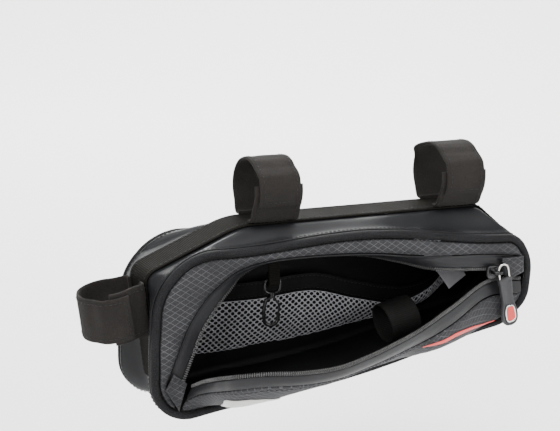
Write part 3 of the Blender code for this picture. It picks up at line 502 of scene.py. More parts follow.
def ripple(points: Array, scale: float, seed: float) -> Array:
    """Smooth noise at each point, from about -1 to 1.

    Args:
        points: An array whose last axis is x, y, z.
        scale: Waves to the metre, roughly.
        seed: Shifts the noise, so that pieces differ.

    Returns:
        One number for each point, in the array's shape.
    """
    flat = points.reshape(-1, 3) * scale + seed
    values = [noise.noise(Vector(place)) for place in flat]
    return np.array(values).reshape(points.shape[:-1])


def normals_of(grid: Array, wrap: bool) -> Array:
    """The unit normal at each point of a grid.

    Args:
        grid: The grid's points.
        wrap: Whether it closes on itself along its first axis.

    Returns:
        The normals, in the grid's shape.
    """
    if wrap:
        first = np.roll(grid, -1, axis=0) - np.roll(grid, 1, axis=0)
    else:
        first = np.gradient(grid, axis=0)
    return unit(np.cross(first, np.gradient(grid, axis=1)))


def lengths_along(grid: Array, axis: int) -> Array:
    """Running length at each point along one axis of a grid.

    Args:
        grid: The grid's points.
        axis: The axis to run along.

    Returns:
        One length for each point.
    """
    steps = np.linalg.norm(np.diff(grid, axis=axis), axis=-1)
    running = np.cumsum(steps, axis=axis)
    zero = np.zeros_like(np.take(running, [0], axis=axis))
    return np.concatenate([zero, running], axis=axis)


def put_mesh(name: str, points: Array, faces: list, uvs: Array, finish: Finish) -> bpy.types.Object:
    """Makes one piece, lets it ride on the bag and gives it its finish.

    Args:
        name: The piece's name.
        points: Its vertices.
        faces: Vertex numbers of each face.
        uvs: One (u, v) in metres for each face corner, in order, or an empty array.
        finish: Its finish.

    Returns:
        The new object.
    """
    mesh = bpy.data.meshes.new(name)
    mesh.from_pydata([tuple(map(float, p)) for p in points], [], faces)
    if len(uvs):
        layer = mesh.uv_layers.new(name="cloth")
        layer.data.foreach_set("uv", np.asarray(uvs, np.float32).ravel())
    shape = bmesh.new()
    shape.from_mesh(mesh)
    bmesh.ops.recalc_face_normals(shape, faces=shape.faces)
    shape.to_mesh(mesh)
    shape.free()
    mesh.shade_smooth()
    mesh.set_sharp_from_angle(angle=math.radians(50))
    mesh.materials.append(finish_of(finish))
    made = bpy.data.objects.new(name, mesh)
    bpy.context.scene.collection.objects.link(made)
    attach(made, "root")
    LOG.info("%s: %d faces", name, len(faces))
    return made


@dataclass
class Cloth:
    """A piece of cloth over a grid of points, closed and with round edges.

    Attributes:
        name: The piece's name.
        grid: Rows along the piece, columns across it.
        thickness: How thick the cloth is.
        finish: Its finish.
        wrap: Whether the rows close on themselves.
        lift: Height of the cloth's lower side over the grid.
        layout: Where the pattern's coordinates come from.
        rim: How many points round off each edge.
    """

    name: str
    grid: Array
    thickness: float
    finish: Finish
    wrap: bool = False
    lift: float = 0.0
    layout: Layout = Layout.STRIP
    rim: int = 3

    def build(self) -> bpy.types.Object:
        """Makes the piece.

        Returns:
            The new object.
        """
        grid, half = self.grid, self.thickness / 2
        normal = normals_of(grid, self.wrap)
        middle = grid + normal * (self.lift + half)
        rows, columns = grid.shape[:2]
        ends = {}
        for column, inner in ((0, 1), (columns - 1, columns - 2)):
            ends[column] = unit(middle[:, column] - middle[:, inner])
        middle[:, 0] -= ends[0] * half * 0.9
        middle[:, -1] -= ends[columns - 1] * half * 0.9
        ring = [middle[:, j] + normal[:, j] * half for j in range(columns)]
        turns = [math.pi * k / (self.rim + 1) for k in range(1, self.rim + 1)]
        for turn in turns:
            ring.append(middle[:, -1] + normal[:, -1] * half * math.cos(turn)
                        + ends[columns - 1] * half * math.sin(turn))
        ring += [middle[:, j] - normal[:, j] * half for j in range(columns - 1, -1, -1)]
        for turn in turns:
            ring.append(middle[:, 0] - normal[:, 0] * half * math.cos(turn)
                        + ends[0] * half * math.sin(turn))
        return self.close(np.stack(ring, axis=1), rows, columns)

    def coordinates(self, columns: int) -> tuple:
        """The cloth's own (u, v) at each ring point, in metres.

        Args:
            columns: How many columns the grid has.

        Returns:
            The u and the v of each row's ring points.
        """
        across = lengths_along(self.grid, 1)
        along = np.broadcast_to(lengths_along(self.grid, 0).mean(axis=1)[:, None], across.shape)
        if self.layout is not Layout.STRIP:
            along = self.grid[:, :, 0]
        if self.layout is Layout.FLAT:
            across = self.grid[:, :, 2]
        order = [*range(columns), *[columns - 1] * self.rim, *range(columns - 1, -1, -1), *[0] * self.rim]
        return along[:, order], across[:, order]

    def close(self, ring: Array, rows: int, columns: int) -> bpy.types.Object:
        """Joins the rings into a closed piece.

        Args:
            ring: Points of each row's closed section.
            rows: How many rows there are.
            columns: How many columns the grid has.

        Returns:
            The new object.
        """
        size = ring.shape[1]
        u, v = self.coordinates(columns)
        total = float(lengths_along(self.grid, 0)[-1].mean()) * rows / max(rows - 1, 1)
        faces, uvs = [], []
        for row in range(rows if self.wrap else rows - 1):
            after = (row + 1) % rows
            for k in range(size):
                n = (k + 1) % size
                faces.append((row * size + k, after * size + k, after * size + n, row * size + n))
                far = (u[after, k], u[after, n]) if after or not self.wrap else (total, total)
                uvs += [(u[row, k], v[row, k]), (far[0], v[after, k])]
                uvs += [(far[1], v[after, n]), (u[row, n], v[row, n])]
        if not self.wrap:
            for row in (0, rows - 1):
                faces.append(tuple(row * size + k for k in range(size)))
                uvs += [(u[row, k], v[row, k]) for k in range(size)]
        return put_mesh(self.name, ring.reshape(-1, 3), faces, np.array(uvs), self.finish)


def bar_mesh(path: Array, radius: float | Array, sides: int, closed: bool) -> tuple:
    """Points, faces and (u, v) of a round bar along a path.

    Args:
        path: The bar's middle line.
        radius: One radius, or one for each point.
        sides: How many sides the bar has.
        closed: Whether the path closes on itself.

    Returns:
        The points, the faces and the corners' coordinates.
    """
    path = np.asarray(path, float)
    count = len(path)
    if closed:
        tangent = unit(np.roll(path, -1, axis=0) - np.roll(path, 1, axis=0))
    else:
        tangent = unit(np.gradient(path, axis=0))
    side = np.cross(tangent[0], (0.3, 0.5, 0.8))
    sides_of = []
    for ahead in tangent:
        side = unit(side - ahead * (side @ ahead))
        sides_of.append(side)
    first = np.array(sides_of)
    second = np.cross(tangent, first)
    if closed:
        drift = math.atan2(first[0] @ unit(np.cross(tangent[0], first[-1])), first[0] @ first[-1])
        twist = np.linspace(0, drift, count)[:, None]
        first, second = (first * np.cos(twist) + second * np.sin(twist),
                         second * np.cos(twist) - first * np.sin(twist))
    turns = np.linspace(0, 2 * math.pi, sides, endpoint=False)
    radii = np.broadcast_to(radius, count)[:, None, None]
    ring = path[:, None] + radii * (first[:, None] * np.cos(turns)[None, :, None]
                                    + second[:, None] * np.sin(turns)[None, :, None])
    run = lengths_along(path[:, None], 0)[:, 0]
    step = float(run[-1]) / max(count - 1, 1)
    faces, uvs = [], []
    girth = 2 * math.pi * float(np.mean(radius)) / sides
    for row in range(count if closed else count - 1):
        after = (row + 1) % count
        for k in range(sides):
            n = (k + 1) % sides
            faces.append((row * sides + k, after * sides + k, after * sides + n, row * sides + n))
            start, end = run[row], run[row] + step
            low, high = k * girth, (k + 1) * girth
            uvs += [(start, low), (end, low), (end, high), (start, high)]
    if not closed:
        for row in (0, count - 1):
            faces.append(tuple(row * sides + k for k in range(sides)))
            uvs += [(run[row], k * girth) for k in range(sides)]
    return ring.reshape(-1, 3), faces, uvs


def bars(name: str, paths: Sequence, radius: float, sides: int, finish: Finish,
         closed: bool = False) -> bpy.types.Object:
    """One piece made of several round bars.

    Args:
        name: The piece's name.
        paths: Each bar's middle line.
        radius: The bars' radius.
        sides: How many sides a bar has.
        finish: The piece's finish.
        closed: Whether each path closes on itself.

    Returns:
        The new object.
    """
    points, faces, uvs = [], [], []
    for path in paths:
        ring, found, corners = bar_mesh(path, radius, sides, closed)
        start = sum(len(p) for p in points)
        points.append(ring)
        faces += [tuple(start + k for k in face) for face in found]
        uvs += corners
    return put_mesh(name, np.vstack(points), faces, np.array(uvs), finish)


@dataclass
class Stitching:
    """Rows of thread on a seam.

    Attributes:
        pitch: From one stitch to the next.
        length: How long a stitch is.
        radius: Of the thread.
    """

    pitch: float
    length: float
    radius: float

    def build(self, name: str, lines: Sequence, finish: Finish = THREAD) -> bpy.types.Object:
        """Sews along lines.

        Args:
            name: The piece's name.
            lines: Pairs of a line's points and the outward normals there.
            finish: The thread's finish.

        Returns:
            The new object.
        """
        points, faces, uvs = [], [], []
        for line, outward in lines:
            both = np.hstack([line, outward])
            run = np.concatenate([[0.0], np.cumsum(np.linalg.norm(np.diff(line, axis=0), axis=1))])
            for middle in np.arange(self.pitch / 2, run[-1] - self.pitch / 2, self.pitch):
                reach = np.array([-0.5, -0.3, 0.0, 0.3, 0.5]) * self.length
                rows = np.stack([np.interp(middle + reach, run, column) for column in both.T], axis=1)
                rise = np.array([-0.6, 0.35, 0.75, 0.35, -0.6]) * self.radius
                path = rows[:, :3] + unit(rows[:, 3:]) * rise[:, None]
                radii = self.radius * np.array([0.55, 0.95, 1.0, 0.95, 0.55])
                ring, found, corners = bar_mesh(path, radii, 6, False)
                start = sum(len(p) for p in points)
                points.append(ring)
                faces += [tuple(start + k for k in face) for face in found]
                uvs += corners
        return put_mesh(name, np.vstack(points), faces, np.array(uvs), finish)


FINE_STITCH = Stitching(0.0030, 0.0020, 0.00020)
PATCH_STITCH = Stitching(0.0028, 0.0019, 0.00020)
STRAP_STITCH = Stitching(0.0030, 0.0021, 0.00022)
SEAM_STITCH = Stitching(0.0031, 0.0021, 0.00022)
PIPING_STITCH = Stitching(0.0032, 0.0022, 0.00022)
SPINE_STITCH = Stitching(0.0034, 0.0024, 0.00024)


@dataclass
class Form:
    """The bag's outline, seams and lip, in the same sizes as the solids.

    The tables hold shares of the length, of the height under the crown and of the lip's reach. Rows of
    OUTLINE are corners: along, below, round and bow, under the webbing and then at the faces, and the
    points that the side after the corner gets. Rows of SEAM are along, below and roll. Rows of LIP are
    seam, along, below, reach, lift in degrees and swell. Rows of POCKET are along, top, foot and out.
    """

    length: float = 0.2715
    height: float = 0.1200
    half_depth: float = 0.02975
    rear: float = 0.1524
    cloth: float = 0.0016
    lining: float = 0.0010
    welt: float = 0.0054
    gap: float = 0.0003
    webbing: float = 0.025
    tape_width: float = 0.0085
    tape: float = 0.0012
    teeth: float = 0.0018
    lip_reach: float = 0.060
    lip_edge_drop: float = 0.0160
    crown: float = -0.0213

    OUTLINE = (
        (0.061, 0.981, 0.183, 0.000, -0.002, 0.998, 0.217, 0.004, 10),
        (0.006, 0.214, 0.067, 0.000, 0.000, 0.272, 0.317, 0.000, 6),
        (0.234, 0.000, 0.417, 0.000, 0.090, 0.068, 0.317, 0.062, 26),
        (0.867, 0.000, 0.100, 0.000, 0.959, 0.138, 0.150, 0.000, 5),
        (0.982, 0.214, 0.117, 0.000, 1.002, 0.289, 0.250, 0.000, 6),
        (0.991, 0.523, 0.150, 0.000, 0.998, 0.523, 0.167, 0.000, 4),
        (0.934, 0.648, 0.183, 0.033, 0.934, 0.652, 0.200, 0.042, 24),
    )
    SEAM = (
        (0.037, 0.765, 0.00), (0.064, 0.601, 0.00), (0.089, 0.458, 0.00), (0.123, 0.343, 0.05),
        (0.168, 0.248, 0.25), (0.240, 0.172, 0.65), (0.310, 0.152, 0.85), (0.404, 0.152, 0.85),
        (0.547, 0.170, 0.80), (0.643, 0.200, 0.60), (0.760, 0.228, 0.15), (0.878, 0.245, 0.00),
        (0.968, 0.272, 0.00),
    )
    LIP = (
        (0.000, 0.092, 0.765, 0.040, 84, 0.30),
        (0.035, 0.099, 0.690, 0.330, 45, 0.33),
        (0.080, 0.110, 0.630, 0.620, 15, 0.38),
        (0.125, 0.138, 0.594, 0.820, 0, 0.44),
        (0.165, 0.175, 0.578, 0.920, 4, 0.46),
        (0.240, 0.265, 0.583, 1.000, 12, 0.48),
        (0.330, 0.362, 0.592, 0.940, 19, 0.48),
        (0.430, 0.461, 0.579, 0.790, 25, 0.48),
        (0.530, 0.553, 0.552, 0.640, 15, 0.45),
        (0.720, 0.725, 0.467, 0.330, -9, 0.92),
        (0.880, 0.871, 0.385, 0.030, -24, 0.35),
        (1.000, 0.972, 0.390, 0.000, 30, 0.18),
    )
    POCKET = (
        (0.150, 0.480, 0.760, 0.05), (0.215, 0.480, 0.775, 0.60), (0.330, 0.480, 0.760, 0.95),
        (0.490, 0.466, 0.735, 1.00), (0.600, 0.536, 0.700, 0.95), (0.735, 0.592, 0.660, 0.70),
        (0.820, 0.540, 0.610, 0.40), (0.870, 0.450, 0.520, 0.05),
    )

    def __post_init__(self) -> None:
        """Works out the outlines and the planes that the pieces lie in."""
        self.welt_y = self.half_depth - self.welt / 2
        self.gusset_y = self.welt_y - self.welt / 2 - self.gap
        self.panel_inset = self.welt + self.gap
        self.panel_y = self.welt_y + self.cloth / 2
        self.back_lining_y = self.panel_y - self.cloth - self.gap
        self.wall_y = self.back_lining_y - self.lining - self.gap
        self.middle = self.outline(0)
        self.face = self.outline(4)

    def along(self, share: float) -> float:
        """The X of a share of the bag's length, from its rear."""
        return share * self.length - self.rear

    def below(self, share: float) -> float:
        """The Z of a share of the bag's height, under its crown."""
        return self.crown - share * self.height

    def outline(self, first: int) -> Array:
        """The closed outline whose columns start at this one, as (x, z) rows.

        Args:
            first: 0 for the outline under the webbing, 4 for the one at the two faces.

        Returns:
            The outline's points, clockwise seen from the zip side.
        """
        corners = np.array([(self.along(row[first]), self.below(row[first + 1])) for row in self.OUTLINE])
        ends = []
        for index, row in enumerate(self.OUTLINE):
            corner = corners[index]
            back = unit(corners[index - 1] - corner)
            ahead = unit(corners[(index + 1) % len(corners)] - corner)
            radius = row[first + 2] * self.height
            half = math.acos(float(back @ ahead)) / 2
            centre = corner + unit(back + ahead) * radius / math.sin(half)
            arm_a = corner + back * radius / math.tan(half) - centre
            arm_b = corner + ahead * radius / math.tan(half) - centre
            swing = math.pi - 2 * half
            shares = np.linspace(0, 1, 12)[:, None]
            arc = (np.sin((1 - shares) * swing) * arm_a + np.sin(shares * swing) * arm_b) / math.sin(swing)
            ends.append(centre + arc)
        outline = []
        for index, row in enumerate(self.OUTLINE):
            outline.extend(ends[index])
            start, stop = ends[index][-1], ends[(index + 1) % len(ends)][0]
            shares = np.linspace(0, 1, row[8] + 2)[1:-1, None]
            side = stop - start
            outward = unit(np.array([-side[1], side[0]]))
            bow = row[first + 3] * self.height * np.sin(math.pi * shares) ** 2
            outline.extend(start + shares * side + outward * bow)
        return np.array(outline)

    def ring(self, y: float, depth: float) -> Array:
        """The bag's outline in the plane at y.

        Args:
            y: The plane.
            depth: How far the outline is inset.

        Returns:
            Its (x, z) rows.
        """
        share = (abs(y) - self.webbing / 2) / (self.gusset_y - self.webbing / 2)
        share = min(max(share, 0.0), 1.0)
        weight = share * share * (3 - 2 * share)
        return inset(self.middle * (1 - weight) + self.face * weight, depth)

    def seam(self, count: int) -> tuple:
        """The upper tape's seam.

        Args:
            count: How many points to return.

        Returns:
            The seam as (x, z) rows, and the tape's roll there in radians.
        """
        rows = [(self.along(a), self.below(b), roll * self.height) for a, b, roll in self.SEAM]
        line = smooth_path(rows, count)
        return line[:, :2], np.clip(line[:, 2] / self.height, 0.0, 1.0) * math.pi / 2

    def upper_tape(self, count: int, distances: Sequence) -> Array:
        """Grid of the upper tape's face.

        Args:
            count: How many rows along the seam.
            distances: Distances from the seam, one for each column.

        Returns:
            The grid.
        """
        line, roll = self.seam(count)
        grid = []
        for distance in distances:
            reach = distance * np.cos(roll) + self.tape * np.sin(roll)
            flat = line + (offset_line(line, -1.0) - line) * reach[:, None]
            grid.append(in_plane(flat, -self.panel_y + distance * np.sin(roll)))
        return np.stack(grid, axis=1)

    def rim_stretch(self, depth: float, first: tuple, last: tuple, count: int, upper: bool) -> Array:
        """The face outline from one place to another.

        Args:
            depth: How far the outline is inset.
            first: Where the stretch starts, as (x, z).
            last: Where it ends.
            count: How many points to return.
            upper: Whether it runs over the top, or else along the bottom.

        Returns:
            The stretch as (x, z) rows.
        """
        ring = inset(self.face, depth)
        ring = np.roll(ring, -int(np.argmin(ring[:, 1])), axis=0)
        loop = np.vstack([ring, ring[:1]])
        fine = resample(loop, 900)
        a, b = (float(np.argmin(np.linalg.norm(fine - np.asarray(place), axis=1))) / 899
                for place in (first, last))
        twice = np.vstack([loop, loop[1:]])
        if upper:
            return resample(twice, count, a / 2, (b if b > a else b + 1) / 2)
        return resample(twice, count, (a if a > b else a + 1) / 2, b / 2)

    def lip_grid(self, count: int, rule: Rule) -> Array:
        """Grid of the lip's face: sections from the bottom seam to the free edge.

        Args:
            count: How many sections there are.
            rule: Picks the points of a section from its whole curve.

        Returns:
            The grid, its normals facing out and down.
        """
        reach = self.lip_reach
        rows = [(self.along(a), -self.panel_y - r * reach, self.below(b), s * self.length,
                 lift / 90 * self.length, swell * self.length) for s, a, b, r, lift, swell in self.LIP]
        table = smooth_path(rows, count)
        first, last = (self.along(0.075), self.below(0.925)), (self.along(0.988), self.below(0.500))
        seam = self.rim_stretch(self.panel_inset, first, last, 900, upper=False)
        grid = []
        for x, y, z, place, lift, swell in table:
            start = seam[int(round(min(max(place / self.length, 0), 1) * 899))]
            start = np.array([start[0], -self.panel_y, start[1]])
            edge = np.array([x, y, z])
            chord = np.linalg.norm(edge - start)
            lift = lift / self.length * math.pi / 2
            away = np.array([0.0, -math.cos(lift), math.sin(lift)])
            handle_a = start + away * chord * swell / self.length
            handle_b = edge - np.array([0.0, 0.0, min(self.lip_edge_drop, chord / 3)])
            s = np.linspace(0, 1, 60)[:, None]
            grid.append(rule((1 - s) ** 3 * start + 3 * (1 - s) ** 2 * s * handle_a
                             + 3 * (1 - s) * s**2 * handle_b + s**3 * edge))
        grid = np.stack(grid)
        normal = normals_of(grid, False)
        return grid if normal[:, :, 1].mean() + normal[:, :, 2].mean() < 0 else grid[:, ::-1]

    def floor_z(self, x: float) -> float:
        """The lining's inner face on the bag's floor.

        Args:
            x: Where along the bag.

        Returns:
            Its Z.
        """
        ring = self.ring(0.0, self.cloth + self.gap + self.lining)
        low = ring[ring[:, 1] < self.below(0.55)]
        order = np.argsort(low[:, 0])
        return float(np.interp(x, low[order, 0], low[order, 1]))

    def ceiling_z(self, x: float) -> float:
        """The lining's inner face under the bag's crown.

        Args:
            x: Where along the bag.

        Returns:
            Its Z.
        """
        ring = self.ring(0.0, self.cloth + self.gap + self.lining)
        high = ring[ring[:, 1] > self.below(0.30)]
        order = np.argsort(high[:, 0])
        return float(np.interp(x, high[order, 0], high[order, 1]))


def section_part(near: float, far: float, columns: int) -> Rule:
    """A rule that keeps the stretch of a section between two distances from its free edge.

    Args:
        near: The nearer distance to the free edge.
        far: The farther one, or a negative number for the seam itself.
        columns: How many points to keep.

    Returns:
        The rule.
    """
    def rule(curve: Array) -> Array:
        """Keeps this rule's stretch of one section."""
        length = np.linalg.norm(np.diff(curve, axis=0), axis=1).sum()
        start = 0.0 if far < 0 else 1 - far / length
        return resample(curve, columns, start, 1 - near / length)
    return rule


@dataclass
class Body:
    """The gusset, the piping, the rear panel, the lining and the webbing down the spine."""

    form: Form
    stitch_inset: float = 0.0013
    welt_swell: float = 0.035
    webbing_thickness: float = 0.0015
    webbing_stitch_inset: float = 0.0022

    def build(self) -> None:
        """Makes the body's pieces in order."""
        self.gusset()
        self.piping()
        self.back_panel()
        self.lining_skin()
        self.spine()

    def gusset(self) -> None:
        """The smooth band round the bag, with soft hollows between the webbing and the piping."""
        form = self.form
        edge = form.gusset_y
        half = form.webbing / 2
        stations = np.concatenate([np.linspace(-edge, -half - 0.0001, 9), np.linspace(-0.0062, 0.0062, 3),
                                   np.linspace(half + 0.0001, edge, 9)])
        grid = np.stack([in_plane(form.ring(y, 0.0), y) for y in stations], axis=1)
        normal = normals_of(grid, True)
        free = np.clip((np.abs(stations) - half) / (edge - half), 0, 1)
        free = np.sin(math.pi * free)[None, :]
        dents = ripple(grid, 28.0, 3.1) * 0.0010 + ripple(grid, 70.0, 8.4) * 0.0004
        grid = grid + normal * (free * (dents - 0.0003))[:, :, None] * self.facing(grid, normal)
        lift = self.seat(grid, normal)
        piece = Cloth("gusset_cloth", grid, form.cloth, COATED, wrap=True, lift=lift).build()
        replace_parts(piece, "gusset")
        lines = []
        for side in (-1, 1):
            y = side * (edge - self.stitch_inset)
            ring = in_plane(form.ring(y, -0.0001), y)
            lines.append((np.vstack([ring, ring[:1]]), self.outward(ring)))
        FINE_STITCH.build("gusset_stitches", lines)

    def facing(self, grid: Array, normal: Array) -> float:
        """1 where the grid's normals face out of the bag, and -1 where they face in."""
        centre = grid.reshape(-1, 3).mean(axis=0)
        return 1.0 if float(((grid - centre) * normal).sum(axis=-1).mean()) > 0 else -1.0

    def seat(self, grid: Array, normal: Array) -> float:
        """The lift that puts the cloth under the grid, inside the bag."""
        return -self.form.cloth if self.facing(grid, normal) > 0 else 0.0

    def outward(self, ring: Array) -> Array:
        """Normals of a closed ring, out of the bag.

        Args:
            ring: The ring's points.

        Returns:
            The normals, the first repeated at their end.
        """
        flat = ring[:, (0, 2)]
        out = unit(flat - inset(flat, 0.001))
        out = in_plane(out, 0.0)
        return np.vstack([out, out[:1]])

    def piping(self) -> None:
        """The cloth-covered cord round each face."""
        form = self.form
        for name, side in (("front_welt", -1), ("rear_welt", 1)):
            path = in_plane(inset(form.face, form.welt / 2), side * form.welt_y)
            path = resample(np.vstack([path, path[:1]]), 361)[:-1]
            swell = 1 + self.welt_swell * ripple(path, 90.0, 2.0 + side)
            points, faces, uvs = bar_mesh(path, form.welt / 2 * swell, 18, True)
            piece = put_mesh(f"{name}_cloth", points, faces, np.array(uvs), WELT_CLOTH)
            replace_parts(piece, name)
            rim = inset(form.face, form.welt + 0.0003)
            ring = in_plane(rim, side * (form.welt_y + 0.0009))
            ring = resample(np.vstack([ring, ring[:1]]), 361)
            away = np.tile([0.0, float(side), 0.0], (len(ring), 1))
            PIPING_STITCH.build(f"{name}_stitches", [(ring, away)])

    def back_panel(self) -> None:
        """The padded rear panel, full in its middle and drawn in at the piping."""
        form = self.form
        rim = inset(form.face, form.panel_inset)
        rim = resample(np.vstack([rim, rim[:1]]), 241)[:-1]
        centre = rim.mean(axis=0)
        shares = np.array([1.0, 0.975, 0.94, 0.88, 0.78, 0.64, 0.48, 0.32, 0.16, 0.03])
        rise = np.array([0.0, 0.55, 0.85, 1.1, 1.2, 1.25, 1.3, 1.3, 1.3, 1.3])
        grid = []
        for share, up in zip(shares, rise):
            y = form.panel_y - form.cloth + up * form.cloth
            grid.append(in_plane(centre + (rim - centre) * share, y))
        grid = np.stack(grid, axis=1)
        quilt = ripple(grid, 22.0, 5.5) * 0.0007 + ripple(grid, 60.0, 1.5) * 0.0003
        grid[:, :, 1] += quilt * np.clip((1 - shares) * 8, 0, 1)[None, :]
        outer = grid + np.array([0.0, form.cloth, 0.0])
        self.disc("back_panel_cloth", outer, grid, COATED, "back_panel")

    def disc(self, name: str, outer: Array, inner: Array, finish: Finish, node: str) -> None:
        """Closes two bowls of rings, outer and inner, into one piece.

        Args:
            name: The piece's name.
            outer: Rings of the outer side, from the rim to the middle, as columns.
            inner: Rings of the inner side.
            finish: The piece's finish.
            node: The solid that it stands for.
        """
        count = len(outer)
        ladder = np.concatenate([outer[:, ::-1], inner], axis=1)
        size = ladder.shape[1]
        points = ladder.reshape(-1, 3)
        faces, uvs = [], []
        for row in range(count):
            after = (row + 1) % count
            for k in range(size - 1):
                corners = (row * size + k, after * size + k, after * size + k + 1, row * size + k + 1)
                faces.append(corners)
                uvs += [(points[c][0], points[c][2]) for c in corners]
        for k in (0, size - 1):
            cap = tuple(row * size + k for row in range(count))
            faces.append(cap)
            uvs += [(points[c][0], points[c][2]) for c in cap]
        piece = put_mesh(name, points, faces, np.array(uvs), finish)
        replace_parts(piece, node)

    def lining_skin(self) -> None:
        """The black lining, a little slack over the walls."""
        form = self.form
        skin = form.cloth + form.gap + 0.0004
        edge = form.gusset_y - 0.0002
        stations = np.linspace(-edge, 0.0225, 17)
        columns = [in_plane(form.ring(y, skin), y) for y in stations]
        turn = form.back_lining_y - 0.0004
        columns.append(in_plane(inset(form.face, skin + 0.0020), 0.0246))
        wall = inset(form.face, skin + 0.0045)
        centre = wall.mean(axis=0)
        shares = (1.0, 0.97, 0.9, 0.8, 0.66, 0.5, 0.33, 0.15, 0.02)
        for share in shares:
            columns.append(in_plane(centre + (wall - centre) * share, turn))
        grid = np.stack(columns, axis=1)
        normal = normals_of(grid, True)
        inward = -self.facing(grid, normal)
        slack = 0.0007 + 0.0007 * ripple(grid, 45.0, 4.4) + 0.0004 * ripple(grid, 110.0, 9.0)
        slack = np.clip(slack, 0.0002, 0.0018) * np.clip(np.linspace(0, 8, grid.shape[1]), 0, 1)[None, :]
        grid = grid + normal * inward * slack[:, :, None]
        inner = grid + normal * inward * form.lining
        self.disc("lining_cloth", grid, inner, LINING, "lining")

    def spine(self) -> None:
        """The ribbed webbing, sewn down along both of its edges."""
        form = self.form
        feet = [(form.along(0.050), form.below(0.80)), (form.along(1.0), form.below(0.34))]
        first, last = (int(np.argmin(np.linalg.norm(form.middle - np.array(foot), axis=1)))
                       for foot in feet)
        kept = range(first, last + 1 if last > first else last + 1 + len(form.middle))
        under = inset(form.middle, -form.gap).take(kept, axis=0, mode="wrap")
        under = resample(under, 260)
        stations = np.linspace(-form.webbing / 2, form.webbing / 2, 9)
        grid = np.stack([in_plane(under, y) for y in stations], axis=1)
        normal = normals_of(grid, False)
        thick = self.webbing_thickness
        lift = 0.0 if self.facing(grid, normal) > 0 else -thick
        piece = Cloth("spine_webbing_weave", grid, thick, WEBBING, lift=lift).build()
        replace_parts(piece, "spine_webbing")
        out = in_plane(unit(offset_line(under, 1.0) - under), 0.0)
        lines = []
        for edge in (-1, 1):
            line = in_plane(under, edge * (form.webbing / 2 - self.webbing_stitch_inset)) + out * 0.00152
            lines.append((line, out))
        SPINE_STITCH.build("spine_stitches", lines)


